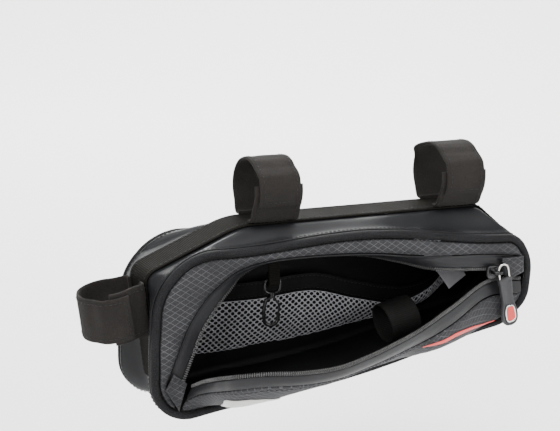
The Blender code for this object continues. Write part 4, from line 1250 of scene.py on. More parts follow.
@dataclass
class OpenFace:
    """The ripstop round the opening, the upper tape with its teeth, and the two cloth tabs."""

    form: Form
    rows: int = 240

    PATCHES = {
        "zip_start_patch": ((0.048, 0.695), (0.082, 0.752), (0.064, 0.897), (0.029, 0.776)),
        "zip_end_patch": ((0.905, 0.262), (0.968, 0.262), (0.972, 0.350), (0.918, 0.400)),
    }

    def build(self) -> None:
        """Makes the face's pieces in order."""
        self.panel()
        self.tape()
        self.tabs()

    def panel(self) -> None:
        """The ripstop panel, full between the piping and the tape."""
        form = self.form
        start = (form.along(0.046), form.below(0.910))
        line, _ = form.seam(900)
        line = offset_line(line, 2 * form.gap)
        rim = form.rim_stretch(form.panel_inset, start, line[-1], self.rows, upper=True)
        corner = offset_line(rim, -0.0016)[0]
        seam = resample(np.vstack([corner, (corner + line[0]) / 2, line]), self.rows)
        shares = np.array([0.0, 0.05, 0.14, 0.28, 0.45, 0.62, 0.78, 0.90, 0.97, 1.0])
        full = np.array([0.10, 0.45, 0.80, 1.0, 1.05, 1.0, 0.88, 0.66, 0.35, 0.10])
        columns = []
        for share, swell in zip(shares, full):
            flat = rim * (1 - share) + seam * share
            columns.append(in_plane(flat, -form.panel_y - swell * 0.85 * form.cloth))
        grid = np.stack(columns, axis=1)
        folds = ripple(grid, 40.0, 6.6) * 0.0005
        folds = folds + ripple(grid * np.array([3.0, 1.0, 1.0]), 70.0, 2.2) * 0.0003
        grid[:, :, 1] += folds * np.sin(math.pi * shares)[None, :]
        normal = normals_of(grid, False)
        lift = -form.cloth if normal[:, :, 1].mean() < 0 else 0.0
        piece = Cloth("front_panel_ripstop", grid, form.cloth, RIPSTOP, lift=lift,
                      layout=Layout.FLAT).build()
        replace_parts(piece, "front_panel")
        sewn = in_plane(offset_line(line, 0.0016), -form.panel_y - 0.0010)
        away = np.tile([0.0, -1.0, 0.0], (len(sewn), 1))
        SEAM_STITCH.build("panel_stitches", [(sewn[20:-20], away[20:-20])])

    def tape(self) -> None:
        """The upper tape with a groove along its seam, and the coil behind its free edge."""
        form = self.form
        width = form.tape_width
        grid = form.upper_tape(self.rows, [0.0, 0.0006, 0.0013, 0.0022, 0.0040, 0.0060, 0.0076, width])
        normal = normals_of(grid, False)
        side = 1.0 if normal[:, :, 1].mean() < 0 else -1.0
        crown = np.array([0.0, -0.25, -0.30, 0.0, 0.12, 0.15, 0.08, 0.0]) * 0.001
        grid = grid + normal * side * crown[None, :, None]
        lift = -form.tape if side > 0 else 0.0
        piece = Cloth("upper_tape", grid, form.tape, TAPE, lift=lift).build()
        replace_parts(piece, "zip_tape_upper")
        base = form.upper_tape(900, [width + form.gap, width + form.gap + form.teeth])
        outward = self.tape_normal(base)
        Coil(base, outward, form.tape).build("upper_teeth", "zip_teeth_upper")

    def tape_normal(self, grid: Array) -> Array:
        """Normals of the tape along its first edge.

        Args:
            grid: The tape's grid.

        Returns:
            The normals, towards the zip side.
        """
        normal = normals_of(grid, False)[:, 0]
        return normal if normal[:, 1].mean() < 0 else -normal

    def tabs(self) -> None:
        """The folded tabs over the zip's start and over its front end."""
        form = self.form
        front = -form.panel_y - 2 * form.cloth - form.gap
        for name, shares in self.PATCHES.items():
            a, b, c, d = (np.array([form.along(x), front, form.below(z)]) for x, z in shares)
            steps = np.linspace(0, 1, 16)
            grid = np.array([[a * (1 - s) * (1 - t) + b * s * (1 - t) + c * s * t + d * (1 - s) * t
                              for s in steps] for t in steps])
            pillow = np.sin(math.pi * steps)[:, None] * np.sin(math.pi * steps)[None, :]
            grid[:, :, 1] -= 0.0008 * pillow ** 0.5 + 0.0003 * ripple(grid, 200.0, 7.0)
            normal = normals_of(grid, False)
            lift = -form.cloth if normal[:, :, 1].mean() < 0 else 0.0
            piece = Cloth(f"{name}_cloth", grid, form.cloth, RIPSTOP, lift=lift,
                          layout=Layout.FLAT).build()
            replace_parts(piece, name)
            frame_line = [grid[2, 2:-2], grid[2:-2, -3], grid[-3, 2:-2][::-1], grid[2:-2, 2][::-1]]
            line = resample(np.vstack(frame_line), 80)
            away = np.tile([0.0, -1.0, 0.0], (80, 1))
            PATCH_STITCH.build(f"{name}_stitches", [(line, away)])


@dataclass
class Coil:
    """One side of the zip's coil: a thin cord and the loops round it.

    Attributes:
        base: Two columns of points, the coil's two edges.
        outward: Normals along them.
        thickness: How deep the coil is.
        pitch: From one tooth to the next.
        wire: Radius of a tooth.
        cord: Radius of the cord.
    """

    base: Array
    outward: Array
    thickness: float
    pitch: float = 0.0014
    wire: float = 0.00036
    cord: float = 0.00045

    def build(self, name: str, node: str) -> None:
        """Makes the coil.

        Args:
            name: The piece's name.
            node: The solid that it stands for.
        """
        near, far = self.base[:, 0], self.base[:, 1]
        run = np.concatenate([[0.0], np.cumsum(np.linalg.norm(np.diff(near, axis=0), axis=1))])
        paths = []
        for place in np.arange(self.pitch / 2, run[-1], self.pitch):
            a, b, out = (np.array([np.interp(place, run, column) for column in rows.T])
                         for rows in (near, far, self.outward))
            out = unit(out)
            top = -out * 0.0003
            deep = -out * (self.thickness - 0.0001)
            across = b - a
            paths.append(np.array([a + deep, a + top + across * 0.05, a + across * 0.5 + top * 0.6,
                                   b + top, b + across * 0.05 + (top + deep) / 2, b + deep]))
        piece = bars(name, [smooth_path(path, 9) for path in paths], self.wire, 6, TEETH)
        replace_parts(piece, node)
        middle = (near * 0.45 + far * 0.55) - self.outward * self.thickness * 0.55
        bars(f"{name}_cord", [resample(middle, 220)], self.cord, 8, TAPE)


@dataclass
class Lip:
    """The folded-out lip: ripstop, its tape and coil, the red line and the reflective patch."""

    form: Form
    rows: int = 200
    sections: int = 27
    fine_rows: int = 480
    fine_columns: int = 161
    print_thickness: float = 0.0005

    LINE = ((14.5, 17.5, 20.0, 22.5), (0.90, 0.77, 0.495, 0.16))
    FILM = ((6.0, 7.5, 8.5), (0.30, 0.26, 0.22), (0.80, 0.78, 0.64))

    def build(self) -> None:
        """Makes the lip's pieces in order."""
        self.cloth()
        self.tape()
        self.prints()

    def folds(self, grid: Array) -> Array:
        """Slack in the cloth: how far each point of a grid moves along its normal.

        Args:
            grid: The lip's grid.

        Returns:
            One distance for each point.
        """
        broad = ripple(grid * np.array([1.0, 0.5, 1.0]), 34.0, 1.7)
        fine = ripple(grid * np.array([1.6, 0.6, 1.0]), 75.0, 5.2)
        return 0.0011 * broad + 0.0004 * fine

    def cloth(self) -> None:
        """The ripstop, sewn to the piping below and to the tape above."""
        form = self.form
        end = form.teeth + 2 * form.gap + form.tape_width
        grid = form.lip_grid(self.rows, section_part(end + 3 * form.gap, -1.0, 22))
        normal = normals_of(grid, False)
        free = np.sin(math.pi * np.linspace(0, 1, grid.shape[1])) ** 0.7
        grid = grid + normal * (self.folds(grid) * free[None, :])[:, :, None]
        piece = Cloth("lip_ripstop", grid, form.cloth, RIPSTOP, lift=-form.cloth,
                      layout=Layout.SLOPE).build()
        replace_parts(piece, "flap")
        normal = normals_of(grid, False)
        third = self.rows // 3
        edge = grid[:, -2] if grid[third, -1, 2] > grid[third, 0, 2] else grid[:, 1]
        SEAM_STITCH.build("lip_stitches", [(edge, normal[:, 1])])

    def tape(self) -> None:
        """The satin tape along the free edge and its coil."""
        form = self.form
        near = form.teeth + 2 * form.gap
        grid = form.lip_grid(self.rows, section_part(near, near + form.tape_width, 7))
        normal = normals_of(grid, False)
        crown = np.array([-0.2, -0.1, 0.12, 0.2, 0.12, -0.1, -0.2]) * 0.001
        grid = grid + normal * crown[None, :, None]
        piece = Cloth("lip_tape", grid, form.tape, TAPE, lift=-form.tape).build()
        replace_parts(piece, "zip_tape_lower")
        base = form.lip_grid(900, section_part(0.0, form.teeth, 2))
        outward = normals_of(base, False)[:, 0]
        Coil(base, outward, 0.0013).build("lip_teeth", "zip_teeth_lower")

    def prints(self) -> None:
        """The red line, tapered at both ends, and the film patch, both on the cloth."""
        form = self.form
        end = form.teeth + 2 * form.gap + form.tape_width
        columns = self.fine_columns
        cloth = form.lip_grid(self.fine_rows, section_part(end + 3 * form.gap, -1.0, columns))
        free = np.sin(math.pi * np.linspace(0, 1, columns))[None, :, None] ** 0.7
        cloth = cloth + normals_of(cloth, False) * self.folds(cloth)[:, :, None] * free
        third = self.fine_rows // 3
        flipped = cloth[third, 0, 2] > cloth[third, -1, 2]
        cloth = cloth[:, ::-1] if flipped else cloth
        self.line_print(cloth, flipped)
        self.film(cloth, flipped)

    def strip(self, name: str, rows: Array, flipped: bool, finish: Finish, node: str) -> None:
        """Lays a thin print over the cloth.

        Args:
            name: The piece's name.
            rows: Its grid, on the cloth.
            flipped: Whether the grid was turned round, so that its normals face in.
            finish: Its finish.
            node: The solid that it stands for.
        """
        grid = rows[:, ::-1] if flipped else rows
        piece = Cloth(name, grid, self.print_thickness, finish, lift=0.0001, layout=Layout.SLOPE,
                      rim=1).build()
        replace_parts(piece, node)

    def cut(self, cloth: Array, section: float, low: float, high: float, count: int) -> Array:
        """A run of points across the cloth at one section.

        Args:
            cloth: The cloth's fine grid.
            section: The place along the lip, counted in its sections.
            low: Share of the cloth, from the seam, where the run starts.
            high: Share where it ends.
            count: How many points to return.

        Returns:
            The points.
        """
        places = np.linspace(low, high, count) * (self.fine_columns - 1)
        row = cloth[int(round(section / self.sections * (self.fine_rows - 1)))]
        known = np.arange(self.fine_columns)
        return np.stack([np.interp(places, known, column) for column in row.T], axis=1)

    def line_print(self, cloth: Array, flipped: bool) -> None:
        """The red line, thickest in its middle and thin at both ends.

        Args:
            cloth: The cloth's fine grid.
            flipped: Whether the grid was turned round.
        """
        steps = np.linspace(self.LINE[0][0], self.LINE[0][-1], 90)
        middle = np.interp(steps, *self.LINE)
        share = np.linspace(0, 1, 90)
        half = 0.006 + 0.036 * np.sin(math.pi * np.clip(share, 0.02, 0.98)) ** 0.7
        rows = [self.cut(cloth, step, m - w, m + w, 5) for step, m, w in zip(steps, middle, half)]
        self.strip("lip_line", np.array(rows), flipped, RED, "flap_trim_line")

    def film(self, cloth: Array, flipped: bool) -> None:
        """The reflective patch, a slanted strip low on the lip, rounded at its rear end.

        Args:
            cloth: The cloth's fine grid.
            flipped: Whether the grid was turned round.
        """
        places, lows, highs = self.FILM
        steps = np.linspace(places[0], places[-1], 40)
        low, high = np.interp(steps, places, lows), np.interp(steps, places, highs)
        round_off = 0.05 * np.clip(1 - (steps - places[0]) / 0.25, 0, 1) ** 2
        rows = [self.cut(cloth, step, a + r, b - r, 14)
                for step, a, b, r in zip(steps, low, high, round_off)]
        self.strip("lip_film", np.array(rows), flipped, FILM, "reflective_patch")


def ellipse(width: float, height: float, count: int, power: float = 1.0) -> Array:
    """A closed ring of points; a power under 1 squares it off.

    Args:
        width: Its size along X.
        height: Its size along Y.
        count: How many points it has.
        power: 1 for an ellipse.

    Returns:
        The ring as (x, y) rows.
    """
    turns = np.linspace(0, 2 * math.pi, count, endpoint=False)
    c, s = np.cos(turns), np.sin(turns)
    x = width / 2 * np.sign(c) * np.abs(c) ** power
    y = height / 2 * np.sign(s) * np.abs(s) ** power
    return np.stack([x, y], axis=1)


@dataclass
class Plate:
    """A flat piece with rounded edges, stood up in the XZ plane with its front towards -Y."""

    name: str
    outline: Array
    thickness: float
    finish: Finish
    round: float = 0.0006
    hollow: float = 0.0
    border: float = 0.0014

    def build(self, place: Array, lean: float = 0.0) -> bpy.types.Object:
        """Makes the plate.

        Args:
            place: Where the outline's own zero goes, at the middle of the thickness.
            lean: Turns the plate towards the bag's front end, in radians.

        Returns:
            The new object.
        """
        half = self.thickness / 2
        arc = [(self.round * (1 - math.cos(a)), half - self.round * (1 - math.sin(a)))
               for a in np.linspace(0, math.pi / 2, 4)]
        front = [(self.round, half)]
        if self.hollow:
            front += [(self.border, half), (self.border + 0.0004, half - self.hollow)]
        sides = [(self.round, -half)] + [(d, -v) for d, v in arc[::-1]] + arc + front
        rings = []
        for depth, level in sides:
            ring = self.shrink(depth)
            rings.append(np.stack([ring[:, 0], np.full(len(ring), -level), ring[:, 1]], axis=1))
        points = np.concatenate(rings)
        size = len(self.outline)
        faces = []
        for row in range(len(rings) - 1):
            for k in range(size):
                n = (k + 1) % size
                faces.append((row * size + k, row * size + n, (row + 1) * size + n, (row + 1) * size + k))
        faces.append(tuple(range(size)))
        faces.append(tuple(range((len(rings) - 1) * size, len(rings) * size)))
        c, s = math.cos(lean), math.sin(lean)
        turned = points.copy()
        turned[:, 0] = points[:, 0] * c - points[:, 2] * s
        turned[:, 2] = points[:, 0] * s + points[:, 2] * c
        turned += np.asarray(place)
        uvs = [(points[i][0], points[i][2]) for face in faces for i in face]
        return put_mesh(self.name, turned, faces, np.array(uvs), self.finish)

    def shrink(self, depth: float) -> Array:
        """The outline moved in.

        Args:
            depth: How far it moves.

        Returns:
            The moved outline, in its own direction.
        """
        area = np.sum(self.outline[:, 0] * np.roll(self.outline[:, 1], -1)
                      - np.roll(self.outline[:, 0], -1) * self.outline[:, 1])
        clockwise = self.outline if area < 0 else self.outline[::-1]
        moved = inset(clockwise, depth)
        return moved if area < 0 else moved[::-1]


@dataclass
class ZipPull:
    """The slider, its bridge and wire bail, and the moulded tab with its badge."""

    form: Form
    lean: float = math.radians(13)
    length: float = 0.0340
    thickness: float = 0.0032
    wire: float = 0.0013
    slider_length: float = 0.0110
    slider_height: float = 0.0090
    slider_plate: float = 0.0022
    bail_half: float = 0.0037
    bail_length: float = 0.0125
    bail_rise: float = 0.0045
    bail_sink: float = 0.0030
    badge_width: float = 0.0080
    badge_height: float = 0.0125

    def build(self) -> None:
        """Makes the pull's pieces in order."""
        form = self.form
        centre = np.array([form.along(0.884), 0.0, form.below(0.335)])
        back = -form.panel_y - form.cloth - form.gap
        face = back - self.slider_plate
        self.slider(centre, back, face)
        bridge_x = centre[0] + 0.18 * self.slider_length
        wire_y = face - self.thickness / 2 - form.gap
        lean = np.array([math.sin(self.lean), 0.0, -math.cos(self.lean)])
        side = np.array([math.cos(self.lean), 0.0, math.sin(self.lean)])
        height = centre[2] + self.bail_rise - self.bail_half
        start = np.array([bridge_x, wire_y, height]) + side * self.bail_half
        leg = self.bail_length - self.bail_half
        self.bail(start, lean, side, leg)
        self.tab(start + lean * (leg - self.bail_sink), lean)

    def slider(self, centre: Array, back: float, face: float) -> None:
        """The slider's body and bridge.

        Args:
            centre: The slider's middle.
            back: The Y of its rear face.
            face: The Y of its front face.
        """
        length, plate = self.slider_length, self.slider_plate
        outline = ellipse(length, self.slider_height, 40, 0.55)
        outline[:, 1] *= 1 - 0.25 * (outline[:, 0] > 0) * (outline[:, 0] / (length / 2))
        body = Plate("slider_body", outline, plate, BLACK_METAL, 0.0007, 0.0003, 0.0012)
        piece = body.build((centre[0], back - plate / 2, centre[2]))
        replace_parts(piece, "slider")
        turns = np.linspace(0, math.pi, 21)
        x = centre[0] + 0.18 * length - 0.32 * length * np.cos(turns)
        path = np.stack([x, face + 0.0006 - 0.0044 * np.sin(turns) ** 0.8, np.full(21, centre[2])], axis=1)
        pair = [path + np.array([0, 0, dz]) for dz in (-0.0005, 0.0005)]
        bars("slider_bridge", pair, 0.0006, 12, BLACK_METAL)

    def bail(self, start: Array, lean: Array, side: Array, leg: float) -> None:
        """The nickel wire, bent to a U.

        Args:
            start: The middle of the bend.
            lean: The direction in which the legs hang.
            side: The direction across them.
            leg: How long a leg is.
        """
        turns = np.linspace(math.pi, 0, 25)
        half = self.bail_half
        arc = [start + side * math.cos(t) * half - lean * math.sin(t) * half for t in turns]
        path = np.array([arc[0] + lean * leg, arc[0] + lean * leg * 0.5, *arc, arc[-1] + lean * leg * 0.5,
                         arc[-1] + lean * leg])
        piece = bars("bail_wire", [path], self.wire / 2, 14, NICKEL)
        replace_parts(piece, "pull_bail")

    def tab(self, head: Array, lean: Array) -> None:
        """The moulded tab, a shallow field inside a raised border, with a rimmed badge.

        Args:
            head: The middle of its top.
            lean: The direction in which it hangs.
        """
        top, end, length = 0.0049, 0.0061, self.length
        right = [(0.80 * top, 0.0), (top, 0.015 * length), (0.97 * top, 0.10 * length),
                 (0.90 * top, 0.30 * length), (0.88 * top, 0.50 * length), (0.93 * end, 0.68 * length),
                 (end, 0.80 * length), (0.90 * end, 0.90 * length), (0.58 * end, 0.975 * length),
                 (0.0, length)]
        half = smooth_path(right, 40)[:-1]
        ring = np.vstack([half * (1, -1), [(0.0, -length)], half[::-1] * (-1, -1)])
        tab = Plate("tab_rubber", ring, self.thickness, RUBBER, 0.0008, 0.0004, 0.0014)
        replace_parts(tab.build(head, self.lean), "pull_tab")
        front = head + lean * 0.74 * length - np.array([0.0, self.thickness / 2 + 0.0003, 0.0])
        badge = ellipse(self.badge_width, self.badge_height, 48, 0.6)
        badge[:, 0] *= 1 - 0.10 * (badge[:, 1] > 0) * badge[:, 1] / (self.badge_height / 2)
        rim = [np.stack([badge[:, 0] * 0.88, np.zeros(48), badge[:, 1] * 0.90], axis=1)]
        c, s = math.cos(self.lean), math.sin(self.lean)
        turned = [np.stack([r[:, 0] * c - r[:, 2] * s, r[:, 1], r[:, 0] * s + r[:, 2] * c], axis=1) + front
                  for r in rim]
        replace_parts(bars("badge_rim", turned, 0.00052, 10, NICKEL, closed=True), "pull_badge_rim")
        inlay = Plate("badge_field", badge * 0.80, 0.0006, RED, 0.0002)
        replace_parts(inlay.build(front, self.lean), "pull_badge_inlay")


@dataclass
class Inside:
    """What is sewn into the bag: net pocket, elastic loop, strap with its hook, and the label."""

    form: Form
    reach: float = 0.0075

    def build(self) -> None:
        """Makes the inner pieces in order."""
        self.net()
        self.hem()
        self.elastic_loop()
        self.hook_strap()
        self.label()

    def sections(self, count: int) -> Array:
        """Sections of the pocket.

        Args:
            count: How many to return.

        Returns:
            Rows of X, the net's top, its foot and how far out it stands.
        """
        form = self.form
        rows = [(form.along(a), form.below(top), form.below(foot), out * self.reach)
                for a, top, foot, out in form.POCKET]
        return smooth_path(rows, count)

    def net(self) -> None:
        """The knitted net: a lattice of diamonds, each edge of it a thread."""
        wide, tall, step = 2 * 46, 18, 0.0020
        fine = np.zeros((wide + 1, tall + 1, 3))
        shares = np.zeros((wide + 1, tall + 1))
        for i, (x, top, foot, out) in enumerate(self.sections(wide + 1)):
            shares[i] = np.clip(1 - step * np.arange(tall + 1) / (top - foot), 0, 1)
            lean = np.sin(shares[i] * math.pi / 2)
            fine[i] = np.stack([np.full(tall + 1, x), self.form.wall_y - 0.0012 - out * lean,
                                foot + (top - foot) * shares[i]], axis=1)
        loose = np.sin(math.pi * shares) ** 0.5
        fine[:, :, 1] -= (0.0006 + 0.0008 * ripple(fine, 60.0, 3.3)) * loose
        fine[:, :, 0] += 0.0007 * ripple(fine, 120.0, 6.1) * loose
        fine[:, :, 2] += 0.0005 * ripple(fine, 120.0, 12.9) * loose
        points, faces, index = [], [], {}
        for i in range(wide + 1):
            for j in range(tall + 1):
                corners = [(i - 1, j), (i, j - 1), (i + 1, j), (i, j + 1)]
                kept = [c for c in corners if 0 <= c[0] <= wide and 0 <= c[1] <= tall]
                hanging = sum(shares[c] > 0 for c in kept)
                if (i + j) % 2 == 0 or len(kept) < 3 or hanging < 2:
                    continue
                for corner in kept:
                    if corner not in index:
                        index[corner] = len(points)
                        points.append(fine[corner])
                faces.append(tuple(index[c] for c in kept))
        piece = put_mesh("net_threads", np.array(points), faces, np.empty(0), NET)
        strands = piece.modifiers.new("threads", "WIREFRAME")
        strands.thickness = 0.00062
        strands.use_replace = True
        strands.use_boundary = True
        strands.use_even_offset = False
        soft = piece.modifiers.new("round", "SUBSURF")
        soft.levels = soft.render_levels = 1
        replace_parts(piece, "mesh_pocket")

    def hem(self) -> None:
        """The black band along the net's top, gathered a little by its elastic."""
        form = self.form
        height = np.concatenate([np.ones(110), np.linspace(1.0, 0.35, 40)]) * 0.0115
        grid = []
        for (x, top, _, out), tall in zip(self.sections(150), height):
            low = top + 0.0008
            shares = np.linspace(0, 1, 8)
            y = np.full(8, form.wall_y - out - form.cloth)
            grid.append(np.stack([np.full(8, x), y, low + tall * shares], axis=1))
        grid = np.array(grid)
        gather = 0.0005 * ripple(grid * np.array([2.5, 1.0, 0.3]), 60.0, 2.8)
        grid[:, :, 1] += gather
        normal = normals_of(grid, False)
        lift = -0.0013 if normal[:, :, 1].mean() < 0 else 0.0
        piece = Cloth("pocket_hem_band", grid, 0.0013, LINING, lift=lift).build()
        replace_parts(piece, "pocket_hem")
        away = np.tile([0.0, -1.0, 0.0], (150, 1))
        lines = [(grid[:, 1] - (0, 0.0001, 0), away), (grid[:, -2] - (0, 0.0001, 0), away)]
        FINE_STITCH.build("pocket_stitches", lines)

    def elastic_loop(self) -> None:
        """The round loop of ribbed elastic, sewn down where it meets the floor."""
        form = self.form
        foot_x, run = form.along(0.69), 0.02
        floor = form.floor_z(foot_x)
        axis = unit(np.array([run, 0.0, form.floor_z(foot_x + run) - floor]))
        up = np.array([-axis[2], 0.0, axis[0]])
        half, radius = 0.0007, 0.0122 + 0.0007
        centre = np.array([foot_x, -0.004, floor]) + up * (radius + half + form.gap)
        rows = []
        for turn in np.linspace(0, 2 * math.pi, 96, endpoint=False):
            spoke = np.array([0.0, math.sin(turn), 0.0]) - up * math.cos(turn)
            sag = 1 + 0.015 * math.sin(3 * turn)
            rows.append([centre + spoke * radius * sag + axis * side * 0.0110
                         for side in np.linspace(-1, 1, 7)])
        grid = np.array(rows)
        piece = Cloth("elastic_band", grid, 2 * half, ELASTIC, wrap=True, lift=-half).build()
        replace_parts(piece, "elastic_loop")

    def hook_strap(self) -> None:
        """The short strap under the crown, folded through the eye of a snap hook."""
        form = self.form
        x, y = form.along(0.337), -0.005
        ceiling = form.ceiling_z(x) - form.gap
        low = ceiling - 0.0370
        bend = 0.0026
        path = [(0.0, ceiling), (0.0, ceiling - 0.0111), (0.0, low + 0.0065)]
        path += [(bend * math.sin(a) + 0.6 * bend, low - bend * math.cos(a))
                 for a in np.radians((-90, -45, 0, 45, 90))]
        path += [(0.7 * bend, low + 0.0065)]
        path = smooth_path(path, 90)
        line = np.stack([np.full(90, x), y + path[:, 0], path[:, 1]], axis=1)
        sides = [line + np.array([side * 0.0040, 0.0, 0.0]) for side in np.linspace(-1, 1, 6)]
        grid = np.stack(sides, axis=1)
        piece = Cloth("hook_strap_weave", grid, 0.0010, WEBBING, lift=-0.0005).build()
        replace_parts(piece, "hook_strap")
        self.snap_hook(np.array([x, y + 0.6 * bend, low + 0.0012]))

    def snap_hook(self, eye: Array) -> None:
        """The hook: an eye, a waist with its swivel, and a jaw closed by a thin tongue.

        Args:
            eye: The place that the strap's fold pulls on.
        """
        top, bottom = eye[2] + 0.0010, eye[2] - 0.0306
        waist = eye[2] - 0.0085
        eye_ring = ellipse(0.0108, top - waist, 40, 0.6)
        centre = np.array([eye[0], eye[1], (top + waist) / 2])
        rings = [np.stack([eye_ring[:, 0], np.zeros(40), eye_ring[:, 1]], axis=1) + centre]
        piece = bars("hook_eye", rings, 0.0011, 12, PLASTIC, closed=True)
        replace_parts(piece, "snap_hook")
        stem = np.linspace((eye[0], eye[1], waist + 0.0006), (eye[0], eye[1], waist - 0.0030), 8)
        bars("hook_waist", [stem], 0.0022, 16, PLASTIC)
        left, right = eye[0] - 0.0050, eye[0] + 0.0050
        foot = bottom + 0.0050
        arc = [(eye[0] - 0.0050 * math.cos(a), foot - 0.0045 * math.sin(a))
               for a in np.linspace(0, math.pi, 17)]
        jaw = [(eye[0] - 0.0005, waist - 0.0028), (left + 0.0010, waist - 0.0048),
               (left, waist - 0.0080), *arc, (right, foot + 0.0030)]
        path = smooth_path([(a, eye[1], b) for a, b in jaw], 70)
        bars("hook_jaw", [path], 0.0012, 12, PLASTIC)
        tongue = [(right, eye[1], foot + 0.0026), (right + 0.0002, eye[1], (foot + waist) / 2),
                  (eye[0] + 0.0012, eye[1], waist - 0.0034)]
        bars("hook_tongue", [smooth_path(tongue, 24)], 0.0007, 10, BLACK_METAL)

    def label(self) -> None:
        """The blank label, its free end curling out from the rear wall."""
        form = self.form
        top = np.array([form.along(0.800), form.wall_y - form.gap, form.below(0.215)])
        down = unit(np.array([0.56, 0.0, -0.83]))
        across = np.array([-down[2], 0.0, down[0]])
        rows = []
        for share in np.linspace(0, 1, 40):
            out = np.array([0.0, -0.013 * math.sin(share * math.pi / 2) ** 2, 0.0])
            rows.append([top + down * 0.040 * share + out + across * 0.0155 * s
                         for s in np.linspace(-0.5, 0.5, 16)])
        grid = np.array(rows)
        grid[:, :, 1] += 0.0004 * ripple(grid, 90.0, 1.1) - 0.0004
        normal = normals_of(grid, False)
        lift = 0.0 if normal[:, :, 1].mean() > 0 else -0.0004
        piece = Cloth("label_blank", grid, 0.0004, LABEL, lift=lift, rim=1).build()
        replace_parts(piece, "care_label")


@dataclass
class Loop:
    """One of the three loops: a short tab sewn to the spine and a strap that closes over it.

    Attributes:
        name: The loop's name, as in its solids.
        centre: A point on its bar's axis.
        bagward: Direction from the bar to the bag.
        axis: The bar's direction.
        bar: The bar's diameter.
        seat: Distance from the bar's axis to the webbing.
        end: Angle at which the strap ends, from the direction of the bag.
        flare: How far the strap's rear corner stands out.
    """

    name: str
    centre: Array
    bagward: Array
    axis: Array
    bar: float
    seat: float
    end: float
    flare: float = 0.0
    thickness: float = 0.0020
    width: float = 0.028
    tab_width: float = 0.033

    def on_circle(self, degrees: float, extra: float = 0.0) -> tuple:
        """A place on the loop's own circle.

        Args:
            degrees: Its angle, from the direction of the bag.
            extra: How far outside the circle it lies.

        Returns:
            The place as (near, bagward).
        """
        angle = math.radians(degrees)
        radius = self.bar / 2 + 0.0004 + self.thickness / 2 + extra
        return math.sin(angle) * radius, math.cos(angle) * radius

    def build(self) -> None:
        """Makes the tab and the strap."""
        foot, edge = self.seat - 0.0003 - self.thickness / 2, 0.0125
        tab = [(0.76 * edge, foot), (1.0 * edge, foot)]
        tab += [self.on_circle(degrees) for degrees in (58, 70, 82, 94, 106)]
        self.strap("tab", smooth_path(tab, 70), self.tab_width, 0.0)
        lift = self.thickness + 0.0003
        over = [(-0.76 * edge, foot), (-1.0 * edge, foot)]
        over += [self.on_circle(degrees) for degrees in range(-58, -221, -18)]
        over += [self.on_circle(-230, 0.45 * lift), self.on_circle(-240, lift)]
        over += [self.on_circle(degrees, lift) for degrees in np.linspace(-252, self.end - 360, 5)]
        self.strap("over", smooth_path(over, 170), self.width, self.flare)

    def strap(self, part: str, path: Array, width: float, flare: float) -> None:
        """One band of soft loop cloth with its sewn lines.

        Args:
            part: Which of the loop's solids it stands for, tab or over.
            path: Its middle line, as (near, bagward) places.
            width: How wide it is.
            flare: How far its rear corner stands out.
        """
        near = np.array([0.0, -1.0, 0.0])
        line = self.centre + path[:, :1] * near + path[:, 1:] * self.bagward
        shares = np.linspace(0, 1, len(line))
        columns = []
        for place in np.linspace(-0.5, 0.5, 11):
            extra = flare * np.exp(-(((shares - 0.42) / 0.07) ** 2)) * max(-place, 0.0) * 2
            columns.append(line + self.axis * (place * width - extra)[:, None])
        grid = np.stack(columns, axis=1)
        normal = normals_of(grid, False)
        wave = 0.00022 * ripple(grid, 110.0, 3.0 + self.seat * 900) + 0.00015 * ripple(grid, 300.0, 1.0)
        grid = grid + normal * wave[:, :, None]
        piece = Cloth(f"{self.name}_{part}_cloth", grid, self.thickness * 0.94, LOOP_CLOTH,
                      lift=-self.thickness * 0.47).build()
        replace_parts(piece, f"{self.name}_{part}")
        self.sew(part, grid, normal, line)

    def sew(self, part: str, grid: Array, normal: Array, line: Array) -> None:
        """The sewn lines: along both edges, and across the ends.

        Args:
            part: Which of the loop's solids the band stands for, tab or over.
            grid: The band's grid.
            normal: The grid's normals.
            line: The band's middle line.
        """
        around = line - self.centre
        out = normal[:, 5] if float((around * normal[:, 5]).sum(axis=1).mean()) > 0 else -normal[:, 5]
        lift = out * self.thickness * 0.49
        columns = (1, -2)
        last = -5 if part == "over" else -8
        lines = [(grid[6:last, c] + lift[6:last], out[6:last]) for c in columns]
        for row in (6, len(line) - 6 if part == "over" else len(line) - 9):
            across = resample(grid[row, 1:-1], 24) + lift[row]
            lines.append((across, np.tile(out[row], (24, 1))))
        STRAP_STITCH.build(f"{self.name}_{part}_stitches", lines)


def build_loops(form: Form) -> None:
    """Makes the three loops where their solids are.

    Args:
        form: The bag's form.
    """
    down, forward = np.array((0.0, 0.0, -1.0)), np.array((1.0, 0.0, 0.0))
    Loop("strap_middle", np.array((-0.06655, 0.0, 0.0)), down, forward, 0.035, 0.0195, 70).build()
    Loop("strap_front", np.array((0.06655, 0.0, 0.0)), down, forward, 0.038, 0.0195, 67, 0.0045).build()
    tilt, drop, lift = math.radians(80.4), 0.0665, form.gap + 0.0015
    axis = np.array((-math.cos(tilt), 0.0, math.sin(tilt)))
    bagward = np.array((axis[2], 0.0, -axis[0]))
    ring = form.middle
    rear = ring[(ring[:, 0] < form.along(0.2)) & (ring[:, 1] < form.below(0.15))]
    order = np.argsort(-rear[:, 1])
    drops = drop + np.linspace(-0.5, 0.5, 9) * 0.033
    edge = np.interp(drops, -rear[order, 1], rear[order, 0])
    on_spine = float(np.min(edge - (drops - drop) / math.tan(tilt)))
    seat = 0.033 / 2 + 0.0035
    centre = np.array((on_spine - lift / math.sin(tilt), 0.0, -drop)) - bagward * seat
    Loop("strap_rear", centre, bagward, axis, 0.033, seat, 72).build()


